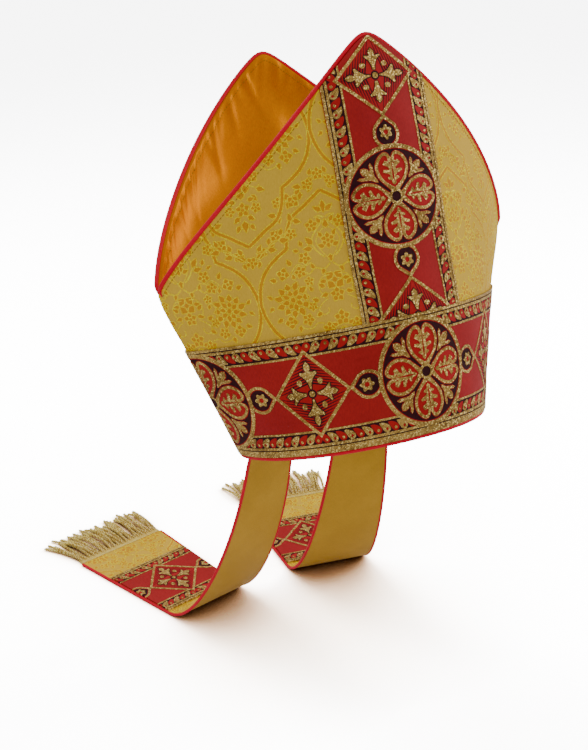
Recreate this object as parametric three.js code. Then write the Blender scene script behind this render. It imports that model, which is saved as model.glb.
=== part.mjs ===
// Bishop's mitre: a stiffened brocade crown with two horns, a satin valley between them,
// a patterned galloon round the base and up each face, red piping, and two fringed lappets.
// Millimetres, +Z up. The origin is the centre of the rim opening, the front faces -Y.
import * as THREE from 'three';

// Crown, measured on the outside of the cloth in its own upright position
const CROWN_HALF_WIDTH = 155;
const FRONT_DEPTH = 95;
const BACK_DEPTH = 90.5;
const CLEFT_HEIGHT = 134;
const FRONT_HEIGHT = 293;
const BACK_HEIGHT = 290;
const TIP_ROUNDING = 7;
const HORN_FULLNESS = 1.19;
const SIDE_DROP = 12.5;
const CROWN_TILT = 11.1;
const CROWN_WALL = 2.4;

// Sections of the crown: height as a share of the cleft height, half width and depths as
// shares of their sizes at the cleft, and how round the section is (0.5 is an ellipse)
const CROWN_SECTIONS = [
  { height: -0.15, width: 0.625, front: 1.132, back: 0.795, round: 0.6 },
  { height: 0, width: 0.675, front: 1.126, back: 0.833, round: 0.634 },
  { height: 0.653, width: 0.892, front: 1.087, back: 0.974, round: 0.87 },
  { height: 1, width: 1, front: 1, back: 1, round: 0.948 },
  { height: 1.577, width: 1.025, front: 0.913, back: 0.99, round: 0.948 },
  { height: 2.37, width: 1.037, front: 0.735, back: 0.95, round: 0.948 },
];

// Galloon: the ring round the base, the strip up each face and the piece across each lappet
const GALLOON_WIDTH = 82.8;
const GALLOON_THICKNESS = 1.2;
const BAND_LIFT = 4.8;
const STRIP_EDGE_MARGIN = 1;

// Satin valley between the horns
const GUSSET_THICKNESS = 1.2;
const GUSSET_LIP = 1.2;
const VALLEY_START = 3.2;
const VALLEY_SINK = 12;
const VALLEY_FULLNESS = 2.2;
const GUSSET_END_SHARE = 0.985;

// Piping
const PIPING_RADIUS = 1.4;

// Lappets: laid out for the wearer's right one and mirrored for the left
const LAPPET_OFFSET = 46.8;
const LAPPET_SEWN = 11;
const LAPPET_THICKNESS = 1.6;
const LAPPET_TOP_WIDTH = 38.5;
const LAPPET_BOTTOM_WIDTH = 94.8;
const LAPPET_SPLAY = 12;
const LAPPET_LEAN = 11.5;
const LAPPET_FALL = 68;
const LAPPET_TURN = 52.7;
const LAPPET_REACH = 112;
const LAPPET_END = 242.5;
const LAPPET_FREE_RUN = 50;
const LAPPET_HEM = 45.3;
const TABLE_DEPTH = 247;

// Fringe: a braided heading with locks of twisted threads
const HEADING_DEPTH = 8;
const HEADING_THICKNESS = 2.6;
const LOCK_LENGTH = 42;
const LOCK_COUNT = 15;
const LOCK_FLARE = 9;
const LOCK_UNEVENNESS = 0.09;
const LOCK_WANDER = 1.6;
const LOCK_TIP_SHARE = 0.5;
const LOCK_ROOT_SHARE = 0.88;

// Clearance between pieces that touch
const GAP = 0.35;

// Facets
const CROWN_COLUMNS = 32;
const PANEL_ROWS = 11;
const GUSSET_ROWS = 12;
const BAND_ROWS = 3;
const STRIP_COLUMNS = 8;
const STRIP_ROWS = 11;
const PIPING_SIDES = 6;
const HORN_PIPING_STEPS = 52;
const LAPPET_COLUMNS = 4;
const LAPPET_ROWS = 26;
const LAPPET_GALLOON_ROWS = 4;
const LAPPET_PIPING_STEPS = 26;

const FRONT = -1;
const BACK = 1;

// A smooth value of one column of the section table at a height
function sectionValue(height, column) {
  const rows = CROWN_SECTIONS;
  const share = height / CLEFT_HEIGHT;
  let k = 0;
  while (k < rows.length - 2 && share > rows[k + 1].height) k += 1;
  const slope = (a, b) => (rows[b][column] - rows[a][column]) / (rows[b].height - rows[a].height);
  const run = rows[k + 1].height - rows[k].height;
  const u = (share - rows[k].height) / run;
  const slopeIn = slope(Math.max(k - 1, 0), k + 1) * run;
  const slopeOut = slope(k, Math.min(k + 2, rows.length - 1)) * run;
  if (u > 1) return rows[k + 1][column] + slopeOut * (u - 1);
  if (u < 0) return rows[k][column] + slopeIn * u;
  const u2 = u * u;
  const u3 = u2 * u;
  return (2 * u3 - 3 * u2 + 1) * rows[k][column] + (u3 - 2 * u2 + u) * slopeIn
    + (3 * u2 - 2 * u3) * rows[k + 1][column] + (u3 - u2) * slopeOut;
}

const halfWidth = (height) => CROWN_HALF_WIDTH * sectionValue(height, 'width');

// A point of the crown shell: side is FRONT or BACK, share is the place across it from
// -1 to 1, height follows the cloth up from the rim, inset moves in through the wall
function crownPoint(side, share, height, inset) {
  const depth = side === FRONT
    ? FRONT_DEPTH * sectionValue(height, 'front')
    : BACK_DEPTH * sectionValue(height, 'back');
  const bulge = Math.pow(Math.max(0, 1 - share * share), sectionValue(height, 'round'));
  return new THREE.Vector3(
    share * (halfWidth(height) - inset),
    side * (depth - inset) * bulge,
    height - SIDE_DROP * share * share,
  );
}

// Height of a horn's cut edge at a place across the crown
function hornEdge(side, share) {
  const top = side === FRONT ? FRONT_HEIGHT : BACK_HEIGHT;
  const rounding = TIP_ROUNDING / CROWN_HALF_WIDTH;
  const out = Math.hypot(share, rounding) / Math.hypot(1, rounding);
  return CLEFT_HEIGHT + (top - CLEFT_HEIGHT) * Math.pow(1 - out, 1 / HORN_FULLNESS);
}

// Places across the crown, closer together towards the side seams
const crownShare = (i) => Math.sin((i / CROWN_COLUMNS - 0.5) * Math.PI);

// A closed wall between two skins of a grid. place(i, j, skin) gives a point, where skin 0
// is the side from which columns run right and rows run up. A ring joins its last column
// to its first.
function wall(columns, rows, place, ring = false) {
  const across = ring ? columns : columns + 1;
  const count = across * (rows + 1);
  const positions = [];
  for (const skin of [0, 1]) {
    for (let j = 0; j <= rows; j += 1) {
      for (let i = 0; i < across; i += 1) positions.push(...place(i, j, skin).toArray());
    }
  }
  const at = (i, j, skin) => skin * count + j * across + (i % across);
  const index = [];
  const quad = (a, b, c, d) => index.push(a, b, c, a, c, d);
  for (let j = 0; j < rows; j += 1) {
    for (let i = 0; i < columns; i += 1) {
      quad(at(i, j, 0), at(i + 1, j, 0), at(i + 1, j + 1, 0), at(i, j + 1, 0));
      quad(at(i, j, 1), at(i, j + 1, 1), at(i + 1, j + 1, 1), at(i + 1, j, 1));
    }
  }
  for (let i = 0; i < columns; i += 1) {
    quad(at(i, 0, 0), at(i, 0, 1), at(i + 1, 0, 1), at(i + 1, 0, 0));
    quad(at(i, rows, 0), at(i + 1, rows, 0), at(i + 1, rows, 1), at(i, rows, 1));
  }
  if (!ring) {
    for (let j = 0; j < rows; j += 1) {
      quad(at(0, j, 0), at(0, j + 1, 0), at(0, j + 1, 1), at(0, j, 1));
      quad(at(columns, j, 0), at(columns, j, 1), at(columns, j + 1, 1), at(columns, j + 1, 0));
    }
  }
  const geometry = new THREE.BufferGeometry();
  geometry.setAttribute('position', new THREE.Float32BufferAttribute(positions, 3));
  geometry.setIndex(index);
  geometry.computeVertexNormals();
  return geometry;
}

// A round cord along points
function cord(points, steps, radius) {
  const section = new THREE.Shape();
  for (let k = 0; k < PIPING_SIDES; k += 1) {
    const turn = (k / PIPING_SIDES) * Math.PI * 2;
    section[k ? 'lineTo' : 'moveTo'](radius * Math.cos(turn), radius * Math.sin(turn));
  }
  section.closePath();
  const path = new THREE.CatmullRomCurve3(points);
  return new THREE.ExtrudeGeometry(section, { steps, extrudePath: path, bevelEnabled: false });
}

// One stiffened panel of the crown, with its horn
function panel(side) {
  return wall(CROWN_COLUMNS, PANEL_ROWS, (i, j, skin) => {
    const share = crownShare(i) * -side;
    const height = hornEdge(side, share) * (j / PANEL_ROWS);
    const point = crownPoint(side, share, height, skin * CROWN_WALL);
    point.y = side * Math.max(GAP / 2, side * point.y);
    return point;
  });
}

// The galloon round the base, outside both panels
function baseBand() {
  return wall(2 * CROWN_COLUMNS, BAND_ROWS, (i, j, skin) => {
    const side = i < CROWN_COLUMNS ? FRONT : BACK;
    const share = crownShare(i % CROWN_COLUMNS) * -side;
    const height = BAND_LIFT + GALLOON_WIDTH * (j / BAND_ROWS);
    return crownPoint(side, share, height, -GAP - (1 - skin) * GALLOON_THICKNESS);
  }, true);
}

// The galloon up the middle of one face, cut to the point of its horn
function orphrey(side) {
  const foot = BAND_LIFT + GALLOON_WIDTH + GAP;
  return wall(STRIP_COLUMNS, STRIP_ROWS, (i, j, skin) => {
    const x = (i / STRIP_COLUMNS - 0.5) * GALLOON_WIDTH * -side;
    let top = CLEFT_HEIGHT;
    for (let k = 0; k < 4; k += 1) top = hornEdge(side, x / halfWidth(top)) - STRIP_EDGE_MARGIN;
    const height = foot + (top - foot) * (j / STRIP_ROWS);
    return crownPoint(side, x / halfWidth(height), height, -GAP - (1 - skin) * GALLOON_THICKNESS);
  });
}

// The satin valley: it follows the inside of each horn and dips along a line between the
// two clefts. Skin 0 is the upper, visible skin.
function gusset() {
  return wall(CROWN_COLUMNS, GUSSET_ROWS, (i, j, skin) => {
    const share = crownShare(i) * GUSSET_END_SHARE;
    const across = (2 * j) / GUSSET_ROWS - 1;
    const side = across < 0 ? FRONT : BACK;
    const rise = Math.abs(across);
    const top = hornEdge(side, share) - GUSSET_LIP;
    const bottom = CLEFT_HEIGHT - VALLEY_START - VALLEY_SINK * (1 - share * share)
      - skin * GUSSET_THICKNESS;
    const height = bottom + (top - bottom) * rise;
    const inset = CROWN_WALL + GAP + (1 - skin) * GUSSET_THICKNESS;
    const point = crownPoint(side, share, height, inset);
    point.y *= 1 - Math.pow(1 - rise, VALLEY_FULLNESS);
    return point;
  });
}

// The piping round one horn, seated on the cut edge of its panel
function hornPiping(side) {
  const points = [];
  const step = 0.001;
  for (let i = 0; i <= CROWN_COLUMNS; i += 1) {
    const share = crownShare(i);
    const edge = (s) => crownPoint(side, s, hornEdge(side, s), CROWN_WALL / 2);
    const inner = THREE.MathUtils.clamp(share, -1 + 2 * step, 1 - 2 * step);
    const along = edge(inner + step).sub(edge(inner - step));
    const out = new THREE.Vector3(-along.z, 0, along.x).normalize();
    const skin = crownPoint(side, inner, hornEdge(side, inner), 0).sub(edge(inner));
    const seat = PIPING_RADIUS + GAP + Math.abs(skin.dot(out));
    const point = edge(share).addScaledVector(out, seat);
    point.y = side * Math.max(PIPING_RADIUS + GAP / 2, side * point.y);
    points.push(point);
  }
  return cord(points, HORN_PIPING_STEPS, PIPING_RADIUS);
}

// The piping round the rim, a closed loop under the cut edges of both panels
function rimPiping() {
  const points = [];
  for (let i = 0; i < 2 * CROWN_COLUMNS; i += 1) {
    const side = i < CROWN_COLUMNS ? FRONT : BACK;
    const share = crownShare(i % CROWN_COLUMNS) * -side;
    points.push(crownPoint(side, share, -PIPING_RADIUS - GAP, PIPING_RADIUS - 2 * GAP));
  }
  const path = new THREE.CatmullRomCurve3(points, true);
  return new THREE.TubeGeometry(path, 2 * CROWN_COLUMNS, PIPING_RADIUS, PIPING_SIDES, true);
}

// Lappet frame: the tilted crown carries its top, the table its end
const tilt = new THREE.Euler(-THREE.MathUtils.degToRad(CROWN_TILT), 0, 0);
const splay = THREE.MathUtils.degToRad(LAPPET_SPLAY);
const lappetOut = new THREE.Vector3(-Math.sin(splay), Math.cos(splay), 0);
const lappetAcross = new THREE.Vector3(Math.cos(splay), Math.sin(splay), 0);

// A point under or on the inside of the back panel, in the tilted crown
function backWallPoint(x, height) {
  const inset = CROWN_WALL + GAP + PIPING_RADIUS;
  return crownPoint(BACK, x / halfWidth(height), height, inset).applyEuler(tilt);
}

// The middle line of a lappet: it falls from its seam, turns onto the table and lies flat
function lappetPath() {
  const top = backWallPoint(-LAPPET_OFFSET, LAPPET_SEWN);
  const level = -TABLE_DEPTH + PIPING_RADIUS;
  const lean = THREE.MathUtils.degToRad(LAPPET_LEAN);
  const at = (out, height) => top.clone().addScaledVector(lappetOut, out).setZ(height);
  const path = new THREE.CurvePath();
  path.add(new THREE.CubicBezierCurve3(
    top,
    at(-LAPPET_FALL * Math.sin(lean), top.z - LAPPET_FALL * Math.cos(lean)),
    at(LAPPET_REACH - LAPPET_TURN, level),
    at(LAPPET_REACH, level),
  ));
  path.add(new THREE.LineCurve3(at(LAPPET_REACH, level), at(LAPPET_END, level)));
  return path;
}

const path = lappetPath();
const LAPPET_LENGTH = path.getLength();

// A point of the middle skin of a lappet: along it from its seam, and across from -1 to 1.
// The sewn end follows the wall and the rest eases onto the free middle line.
function lappetPoint(along, across) {
  const share = THREE.MathUtils.clamp(along / LAPPET_LENGTH, 0, 1);
  const reach = across * (LAPPET_TOP_WIDTH + (LAPPET_BOTTOM_WIDTH - LAPPET_TOP_WIDTH) * share) / 2;
  const free = path.getPointAt(share).addScaledVector(lappetAcross, reach);
  const ease = THREE.MathUtils.smoothstep(along, LAPPET_SEWN, LAPPET_SEWN + LAPPET_FREE_RUN);
  if (ease === 1) return free;
  return backWallPoint(-LAPPET_OFFSET + reach, LAPPET_SEWN - along).lerp(free, ease);
}

// The same point moved off the middle skin, towards the brocade face
function lappetSkin(along, across, lift) {
  const step = 0.5;
  const start = Math.max(0, Math.min(along, LAPPET_LENGTH - step));
  const down = lappetPoint(start + step, across).sub(lappetPoint(start, across));
  const over = lappetPoint(start, across + 0.01).sub(lappetPoint(start, across - 0.01));
  return lappetPoint(along, across).addScaledVector(over.cross(down).normalize(), lift);
}

// One lappet, skin 0 is the brocade face
function lappet() {
  return wall(LAPPET_COLUMNS, LAPPET_ROWS, (i, j, skin) => {
    const along = LAPPET_LENGTH * (j / LAPPET_ROWS);
    return lappetSkin(along, (2 * i) / LAPPET_COLUMNS - 1, LAPPET_THICKNESS * (0.5 - skin));
  });
}

// The galloon across a lappet, above its hem
function lappetGalloon() {
  const seat = LAPPET_THICKNESS / 2 + GAP;
  return wall(LAPPET_COLUMNS, LAPPET_GALLOON_ROWS, (i, j, skin) => {
    const along = LAPPET_LENGTH - LAPPET_HEM - GALLOON_WIDTH * (1 - j / LAPPET_GALLOON_ROWS);
    return lappetSkin(along, (2 * i) / LAPPET_COLUMNS - 1, seat + GALLOON_THICKNESS * (1 - skin));
  });
}

// The piping down one long edge of a lappet
function lappetPiping(edge) {
  const points = [];
  for (let k = 0; k <= LAPPET_PIPING_STEPS; k += 1) {
    const along = LAPPET_SEWN + (LAPPET_LENGTH - LAPPET_SEWN) * (k / LAPPET_PIPING_STEPS);
    const rim = lappetPoint(along, edge);
    const out = rim.clone().sub(lappetPoint(along, edge * 0.9)).normalize();
    points.push(rim.addScaledVector(out, PIPING_RADIUS + GAP));
  }
  return cord(points, LAPPET_PIPING_STEPS, PIPING_RADIUS);
}

// The fringe: a comb of locks on its heading, lying on the table
function fringe() {
  const half = LAPPET_BOTTOM_WIDTH / 2;
  const pitch = LAPPET_BOTTOM_WIDTH / LOCK_COUNT;
  const outline = new THREE.Shape();
  outline.moveTo(-half, 0);
  outline.lineTo(half, 0);
  outline.lineTo(half, HEADING_DEPTH);
  for (let k = LOCK_COUNT - 1; k >= 0; k -= 1) {
    const middle = (k + 0.5) * pitch - half;
    const root = (pitch * LOCK_ROOT_SHARE) / 2;
    const tip = root * LOCK_TIP_SHARE;
    const reach = HEADING_DEPTH + LOCK_LENGTH * (1 + LOCK_UNEVENNESS * Math.sin(k * 2.4));
    const drift = (middle / half) * LOCK_FLARE + LOCK_WANDER * Math.sin(k * 3.7);
    outline.lineTo(middle + root, HEADING_DEPTH);
    outline.lineTo(middle + drift + tip, reach);
    outline.lineTo(middle + drift - tip, reach);
    outline.lineTo(middle - root, HEADING_DEPTH);
  }
  outline.lineTo(-half, HEADING_DEPTH);
  outline.closePath();
  const settings = { depth: HEADING_THICKNESS, bevelEnabled: false };
  const end = lappetPoint(LAPPET_LENGTH, 0).addScaledVector(lappetOut, GAP).setZ(-TABLE_DEPTH);
  const frame = new THREE.Matrix4().makeBasis(lappetAcross, lappetOut, new THREE.Vector3(0, 0, 1));
  return new THREE.ExtrudeGeometry(outline, settings).applyMatrix4(frame.setPosition(end));
}

// The same geometry on the wearer's left
function mirrored(geometry) {
  const copy = geometry.clone().applyMatrix4(new THREE.Matrix4().makeScale(-1, 1, 1));
  const order = copy.index ? copy.index.array : copy.getAttribute('position').array;
  const size = copy.index ? 1 : 3;
  for (let k = 0; k < order.length; k += 3 * size) {
    for (let n = 0; n < size; n += 1) {
      [order[k + n], order[k + size + n]] = [order[k + size + n], order[k + n]];
    }
  }
  return copy;
}

// Finishes
const finish = (color, roughness, metalness = 0) => (
  new THREE.MeshStandardMaterial({ color, roughness, metalness })
);
const brocade = finish(0xcda644, 0.5, 0.1);
const satin = finish(0xdd9427, 0.35);
const lappetCloth = finish(0xbd9538, 0.45);
const galloon = finish(0xa81c28, 0.6, 0.1);
const redCord = finish(0xc4182f, 0.6);
const bullion = finish(0xc4a669, 0.45, 0.4);

function piece(name, geometry, material) {
  const mesh = new THREE.Mesh(geometry, material);
  mesh.name = name;
  return mesh;
}

const crown = new THREE.Group();
crown.rotation.copy(tilt);
crown.add(
  piece('front_panel', panel(FRONT), brocade),
  piece('back_panel', panel(BACK), brocade),
  piece('horn_gusset', gusset(), satin),
  piece('base_band', baseBand(), galloon),
  piece('front_orphrey', orphrey(FRONT), galloon),
  piece('back_orphrey', orphrey(BACK), galloon),
  piece('front_piping', hornPiping(FRONT), redCord),
  piece('back_piping', hornPiping(BACK), redCord),
  piece('rim_piping', rimPiping(), redCord),
);

const lappets = new THREE.Group();
for (const [hand, turn] of [['right', (g) => g], ['left', mirrored]]) {
  lappets.add(
    piece(`lappet_${hand}`, turn(lappet()), lappetCloth),
    piece(`lappet_galloon_${hand}`, turn(lappetGalloon()), galloon),
    piece(`lappet_piping_${hand}_outer`, turn(lappetPiping(-1)), redCord),
    piece(`lappet_piping_${hand}_inner`, turn(lappetPiping(1)), redCord),
    piece(`lappet_fringe_${hand}`, turn(fringe()), bullion),
  );
}

const mitre = new THREE.Group();
mitre.add(crown, lappets);

export default mitre;
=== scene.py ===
import math
import random

import bpy
import numpy as np
from mathutils import Matrix, Vector
from mathutils.geometry import delaunay_2d_cdt


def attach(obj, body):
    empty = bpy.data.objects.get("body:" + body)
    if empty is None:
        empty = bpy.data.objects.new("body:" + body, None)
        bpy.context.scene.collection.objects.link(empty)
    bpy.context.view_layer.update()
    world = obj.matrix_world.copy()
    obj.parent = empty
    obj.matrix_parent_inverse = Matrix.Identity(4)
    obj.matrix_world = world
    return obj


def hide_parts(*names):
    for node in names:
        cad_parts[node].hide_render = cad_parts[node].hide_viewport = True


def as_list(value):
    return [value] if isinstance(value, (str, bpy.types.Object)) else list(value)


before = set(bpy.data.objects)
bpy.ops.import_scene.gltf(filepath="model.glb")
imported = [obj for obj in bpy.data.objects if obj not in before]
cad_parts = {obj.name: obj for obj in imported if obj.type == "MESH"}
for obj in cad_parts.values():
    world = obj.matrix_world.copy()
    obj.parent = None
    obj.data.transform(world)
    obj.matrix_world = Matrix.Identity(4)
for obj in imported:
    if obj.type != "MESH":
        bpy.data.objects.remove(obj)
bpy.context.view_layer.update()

METRE = 0.001
BODY = "root"
FRONT = -1
BACK = 1

# Crown, on the outside of the cloth in its own upright position
CROWN_HALF_WIDTH = 155
FRONT_DEPTH = 95
BACK_DEPTH = 90.5
CLEFT_HEIGHT = 134
HORN_HEIGHT = {FRONT: 293, BACK: 290}
TIP_ROUNDING = 7
HORN_FULLNESS = 1.19
SIDE_DROP = 12.5
CROWN_TILT = math.radians(11.1)
CROWN_WALL = 2.4
GAP = 0.35

# Sections of the crown by share of the cleft height: half width, front and back depth as
# shares of their sizes at the cleft, and how round the section is
SECTION_HEIGHTS = np.array([-0.15, 0, 0.653, 1, 1.577, 2.37])
SECTION_WIDTH = np.array([0.625, 0.675, 0.892, 1, 1.025, 1.037])
SECTION_FRONT = np.array([1.132, 1.126, 1.087, 1, 0.913, 0.735])
SECTION_BACK = np.array([0.795, 0.833, 0.974, 1, 0.99, 0.95])
SECTION_ROUND = np.array([0.6, 0.634, 0.87, 0.948, 0.948, 0.948])

# Galloon
GALLOON_WIDTH = 82.8
GALLOON_THICKNESS = 1.2
BAND_LIFT = 4.8
STRIP_EDGE_MARGIN = -0.2
SELVEDGE = 1.6

# Satin valley
GUSSET_THICKNESS = 1.2
VALLEY_START = 3.2
VALLEY_SINK = 12
VALLEY_FULLNESS = 2.2
GUSSET_END_SHARE = 0.985

PIPING_RADIUS = 1.4
HORN_PIPING_RADIUS = 1.65
HORN_PIPING_SEAT = 1.3
HORN_PIPING_FADE = 0.975
HORN_PIPING_SINK = 1.2
HORN_PIPING_THINNING = 0.45
LAPPET_PIPING_SINK = 0.4
RIM_PIPING_RADIUS = 1.7
RIM_PIPING_DROP = 1.1
RIM_PIPING_INSET = 0.6

# Lappets, laid out for the wearer's right one and mirrored for the left
LAPPET_OFFSET = 46.8
LAPPET_SEWN = 11
LAPPET_THICKNESS = 1.6
LAPPET_TOP_WIDTH = 38.5
LAPPET_BOTTOM_WIDTH = 94.8
LAPPET_SPLAY = math.radians(12)
LAPPET_LEAN = math.radians(11.5)
LAPPET_FALL = 68
LAPPET_TURN = 52.7
LAPPET_REACH = 112
LAPPET_END = 242.5
LAPPET_FREE_RUN = 50
LAPPET_HEM = 45.3
TABLE_DEPTH = 247

# Fringe
HEADING_DEPTH = 8
HEADING_THICKNESS = 2.6
STRAND_LENGTH = 42


# Cloth shapes


def section_value(height, values):
    """A smooth value of the section table at each height."""
    share = np.asarray(height, float) / CLEFT_HEIGHT
    rows = SECTION_HEIGHTS
    last = len(rows) - 1
    k = np.searchsorted(rows[1:-1], share, side="left")
    before = np.maximum(k - 1, 0)
    after = np.minimum(k + 2, last)
    run = rows[k + 1] - rows[k]
    u = (share - rows[k]) / run
    slope_in = (values[k + 1] - values[before]) / (rows[k + 1] - rows[before]) * run
    slope_out = (values[after] - values[k]) / (rows[after] - rows[k]) * run
    inside = (
        (2 * u**3 - 3 * u**2 + 1) * values[k]
        + (u**3 - 2 * u**2 + u) * slope_in
        + (3 * u**2 - 2 * u**3) * values[k + 1]
        + (u**3 - u**2) * slope_out
    )
    above = values[k + 1] + slope_out * (u - 1)
    below = values[k] + slope_in * u
    return np.where(u > 1, above, np.where(u < 0, below, inside))


def half_width(height):
    return CROWN_HALF_WIDTH * section_value(height, SECTION_WIDTH)


def crown_point(side, share, height, inset):
    """Points of the crown before it is tilted; inset moves in through the wall."""
    share, height, inset = np.broadcast_arrays(
        np.asarray(share, float), np.asarray(height, float), np.asarray(inset, float)
    )
    if side == FRONT:
        depth = FRONT_DEPTH * section_value(height, SECTION_FRONT)
    else:
        depth = BACK_DEPTH * section_value(height, SECTION_BACK)
    room = np.maximum(0, 1 - share * share)
    bulge = room ** section_value(height, SECTION_ROUND)
    x = share * (half_width(height) - inset)
    y = side * (depth - inset) * bulge
    z = height - SIDE_DROP * share * share
    return np.stack([x, y, z], axis=-1)


def horn_edge(side, share):
    """Height of a horn's cut edge at a place across the crown."""
    rounding = TIP_ROUNDING / CROWN_HALF_WIDTH
    out = np.hypot(share, rounding) / np.hypot(1, rounding)
    rise = HORN_HEIGHT[side] - CLEFT_HEIGHT
    return CLEFT_HEIGHT + rise * np.maximum(0, 1 - out) ** (1 / HORN_FULLNESS)


def tilted(points):
    """The crown's points as it sits on the head."""
    turned = np.array(points, float)
    y, z = turned[..., 1].copy(), turned[..., 2].copy()
    turned[..., 1] = y * math.cos(CROWN_TILT) + z * math.sin(CROWN_TILT)
    turned[..., 2] = z * math.cos(CROWN_TILT) - y * math.sin(CROWN_TILT)
    return turned


ARC_LEVELS = np.linspace(-8, 296, 153)
ARC_TURNS = np.linspace(-math.pi / 2, math.pi / 2, 361)


def arc_table(side):
    """Length along the cloth from its middle, for each level and each place across."""
    share = np.sin(ARC_TURNS)[None, :]
    points = crown_point(side, share, ARC_LEVELS[:, None], 0)
    steps = np.linalg.norm(np.diff(points, axis=1), axis=2)
    lengths = np.concatenate([np.zeros((len(ARC_LEVELS), 1)), np.cumsum(steps, 1)], 1)
    middle = len(ARC_TURNS) // 2
    return lengths - lengths[:, middle : middle + 1]


ARCS = {side: arc_table(side) for side in (FRONT, BACK)}


def arc_at(side, turn, height):
    """Length along the cloth at a level, by linear interpolation of the table."""
    row = (np.asarray(height, float) - ARC_LEVELS[0]) / (ARC_LEVELS[1] - ARC_LEVELS[0])
    column = (np.asarray(turn, float) - ARC_TURNS[0]) / (ARC_TURNS[1] - ARC_TURNS[0])
    row = np.clip(row, 0, len(ARC_LEVELS) - 1.001)
    column = np.clip(column, 0, len(ARC_TURNS) - 1.001)
    i, j = row.astype(int), column.astype(int)
    a, b = row - i, column - j
    table = ARCS[side]
    low = table[i, j] * (1 - b) + table[i, j + 1] * b
    high = table[i + 1, j] * (1 - b) + table[i + 1, j + 1] * b
    return low * (1 - a) + high * a


def share_at(side, across, height):
    """Place across the crown of a length along the cloth."""
    low = np.full(np.shape(across), -math.pi / 2)
    high = np.full(np.shape(across), math.pi / 2)
    for _ in range(24):
        middle = (low + high) / 2
        short = arc_at(side, middle, height) < across
        low = np.where(short, middle, low)
        high = np.where(short, high, middle)
    return np.sin((low + high) / 2)


# How far the cloth of the two sides laps at the side seams, and from what place across
SEAM_LAP = 0.25
SEAM_SHARE = 0.9996


def crown_cloth(side):
    """Lays cloth coordinates (across, up) on one side of the crown."""

    def place(flat, lift):
        share = share_at(side, flat[:, 0], flat[:, 1])
        points = crown_point(side, share, flat[:, 1], -lift)
        lap = SEAM_LAP * np.clip((np.abs(share) - SEAM_SHARE) / (1 - SEAM_SHARE), 0, 1)
        points[:, 1] = side * (np.maximum(0, side * points[:, 1]) - lap)
        return tilted(points)

    return place


def bezier(points, u):
    a, b, c, d = (np.asarray(p, float) for p in points)
    u = np.asarray(u)[:, None]
    return a * (1 - u) ** 3 + 3 * b * u * (1 - u) ** 2 + 3 * c * u * u * (1 - u) + d * u**3


LAPPET_OUT = np.array([-math.sin(LAPPET_SPLAY), math.cos(LAPPET_SPLAY), 0])
LAPPET_ACROSS = np.array([math.cos(LAPPET_SPLAY), math.sin(LAPPET_SPLAY), 0])


def back_wall(x, height):
    """Points on the inside of the back panel, where a lappet is sewn."""
    inset = CROWN_WALL + GAP + PIPING_RADIUS
    return tilted(crown_point(BACK, x / half_width(height), height, inset))


def lappet_line():
    """The middle line of a lappet: it falls, turns onto the table and lies flat."""
    top = back_wall(np.array(-LAPPET_OFFSET), np.array(LAPPET_SEWN))
    level = -TABLE_DEPTH + PIPING_RADIUS

    def at(out, height):
        point = top + LAPPET_OUT * out
        point[2] = height
        return point

    controls = [
        top,
        at(-LAPPET_FALL * math.sin(LAPPET_LEAN), top[2] - LAPPET_FALL * math.cos(LAPPET_LEAN)),
        at(LAPPET_REACH - LAPPET_TURN, level),
        at(LAPPET_REACH, level),
    ]
    falling = bezier(controls, np.linspace(0, 1, 600))
    lying = np.linspace(at(LAPPET_REACH, level), at(LAPPET_END, level), 60)[1:]
    points = np.concatenate([falling, lying])
    steps = np.linalg.norm(np.diff(points, axis=0), axis=1)
    return points, np.concatenate([[0], np.cumsum(steps)])


LAPPET_POINTS, LAPPET_LENGTHS = lappet_line()
LAPPET_LENGTH = LAPPET_LENGTHS[-1]


def lappet_half_width(along):
    share = np.clip(np.asarray(along, float) / LAPPET_LENGTH, 0, 1)
    return (LAPPET_TOP_WIDTH + (LAPPET_BOTTOM_WIDTH - LAPPET_TOP_WIDTH) * share) / 2


def lappet_point(along, reach):
    """Points of the middle skin: along from the seam, reach across in millimetres."""
    along, reach = np.broadcast_arrays(np.asarray(along, float), np.asarray(reach, float))
    inside = np.clip(along, 0, LAPPET_LENGTH)
    line = [np.interp(inside, LAPPET_LENGTHS, LAPPET_POINTS[:, k]) for k in range(3)]
    free = np.stack(line, -1) + LAPPET_ACROSS * reach[..., None]
    u = np.clip((along - LAPPET_SEWN) / LAPPET_FREE_RUN, 0, 1)
    ease = (u * u * (3 - 2 * u))[..., None]
    sewn = back_wall(-LAPPET_OFFSET + reach, LAPPET_SEWN - np.minimum(along, 2 * LAPPET_SEWN))
    return sewn * (1 - ease) + free * ease


def lappet_cloth(hand):
    """Lays cloth coordinates (across, up from the hem) on a lappet, lift off its middle skin."""

    def place(flat, lift):
        along, reach = LAPPET_LENGTH - flat[:, 1], flat[:, 0]
        start = np.clip(along, 0, LAPPET_LENGTH - 1)
        down = lappet_point(start + 1, reach) - lappet_point(start, reach)
        over = lappet_point(start, reach + 0.5) - lappet_point(start, reach - 0.5)
        normal = np.cross(over, down)
        normal /= np.linalg.norm(normal, axis=1)[:, None]
        points = lappet_point(along, reach) + normal * np.reshape(lift, (-1, 1))
        points[:, 0] *= hand
        return points

    return place


# Mesh making


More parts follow.
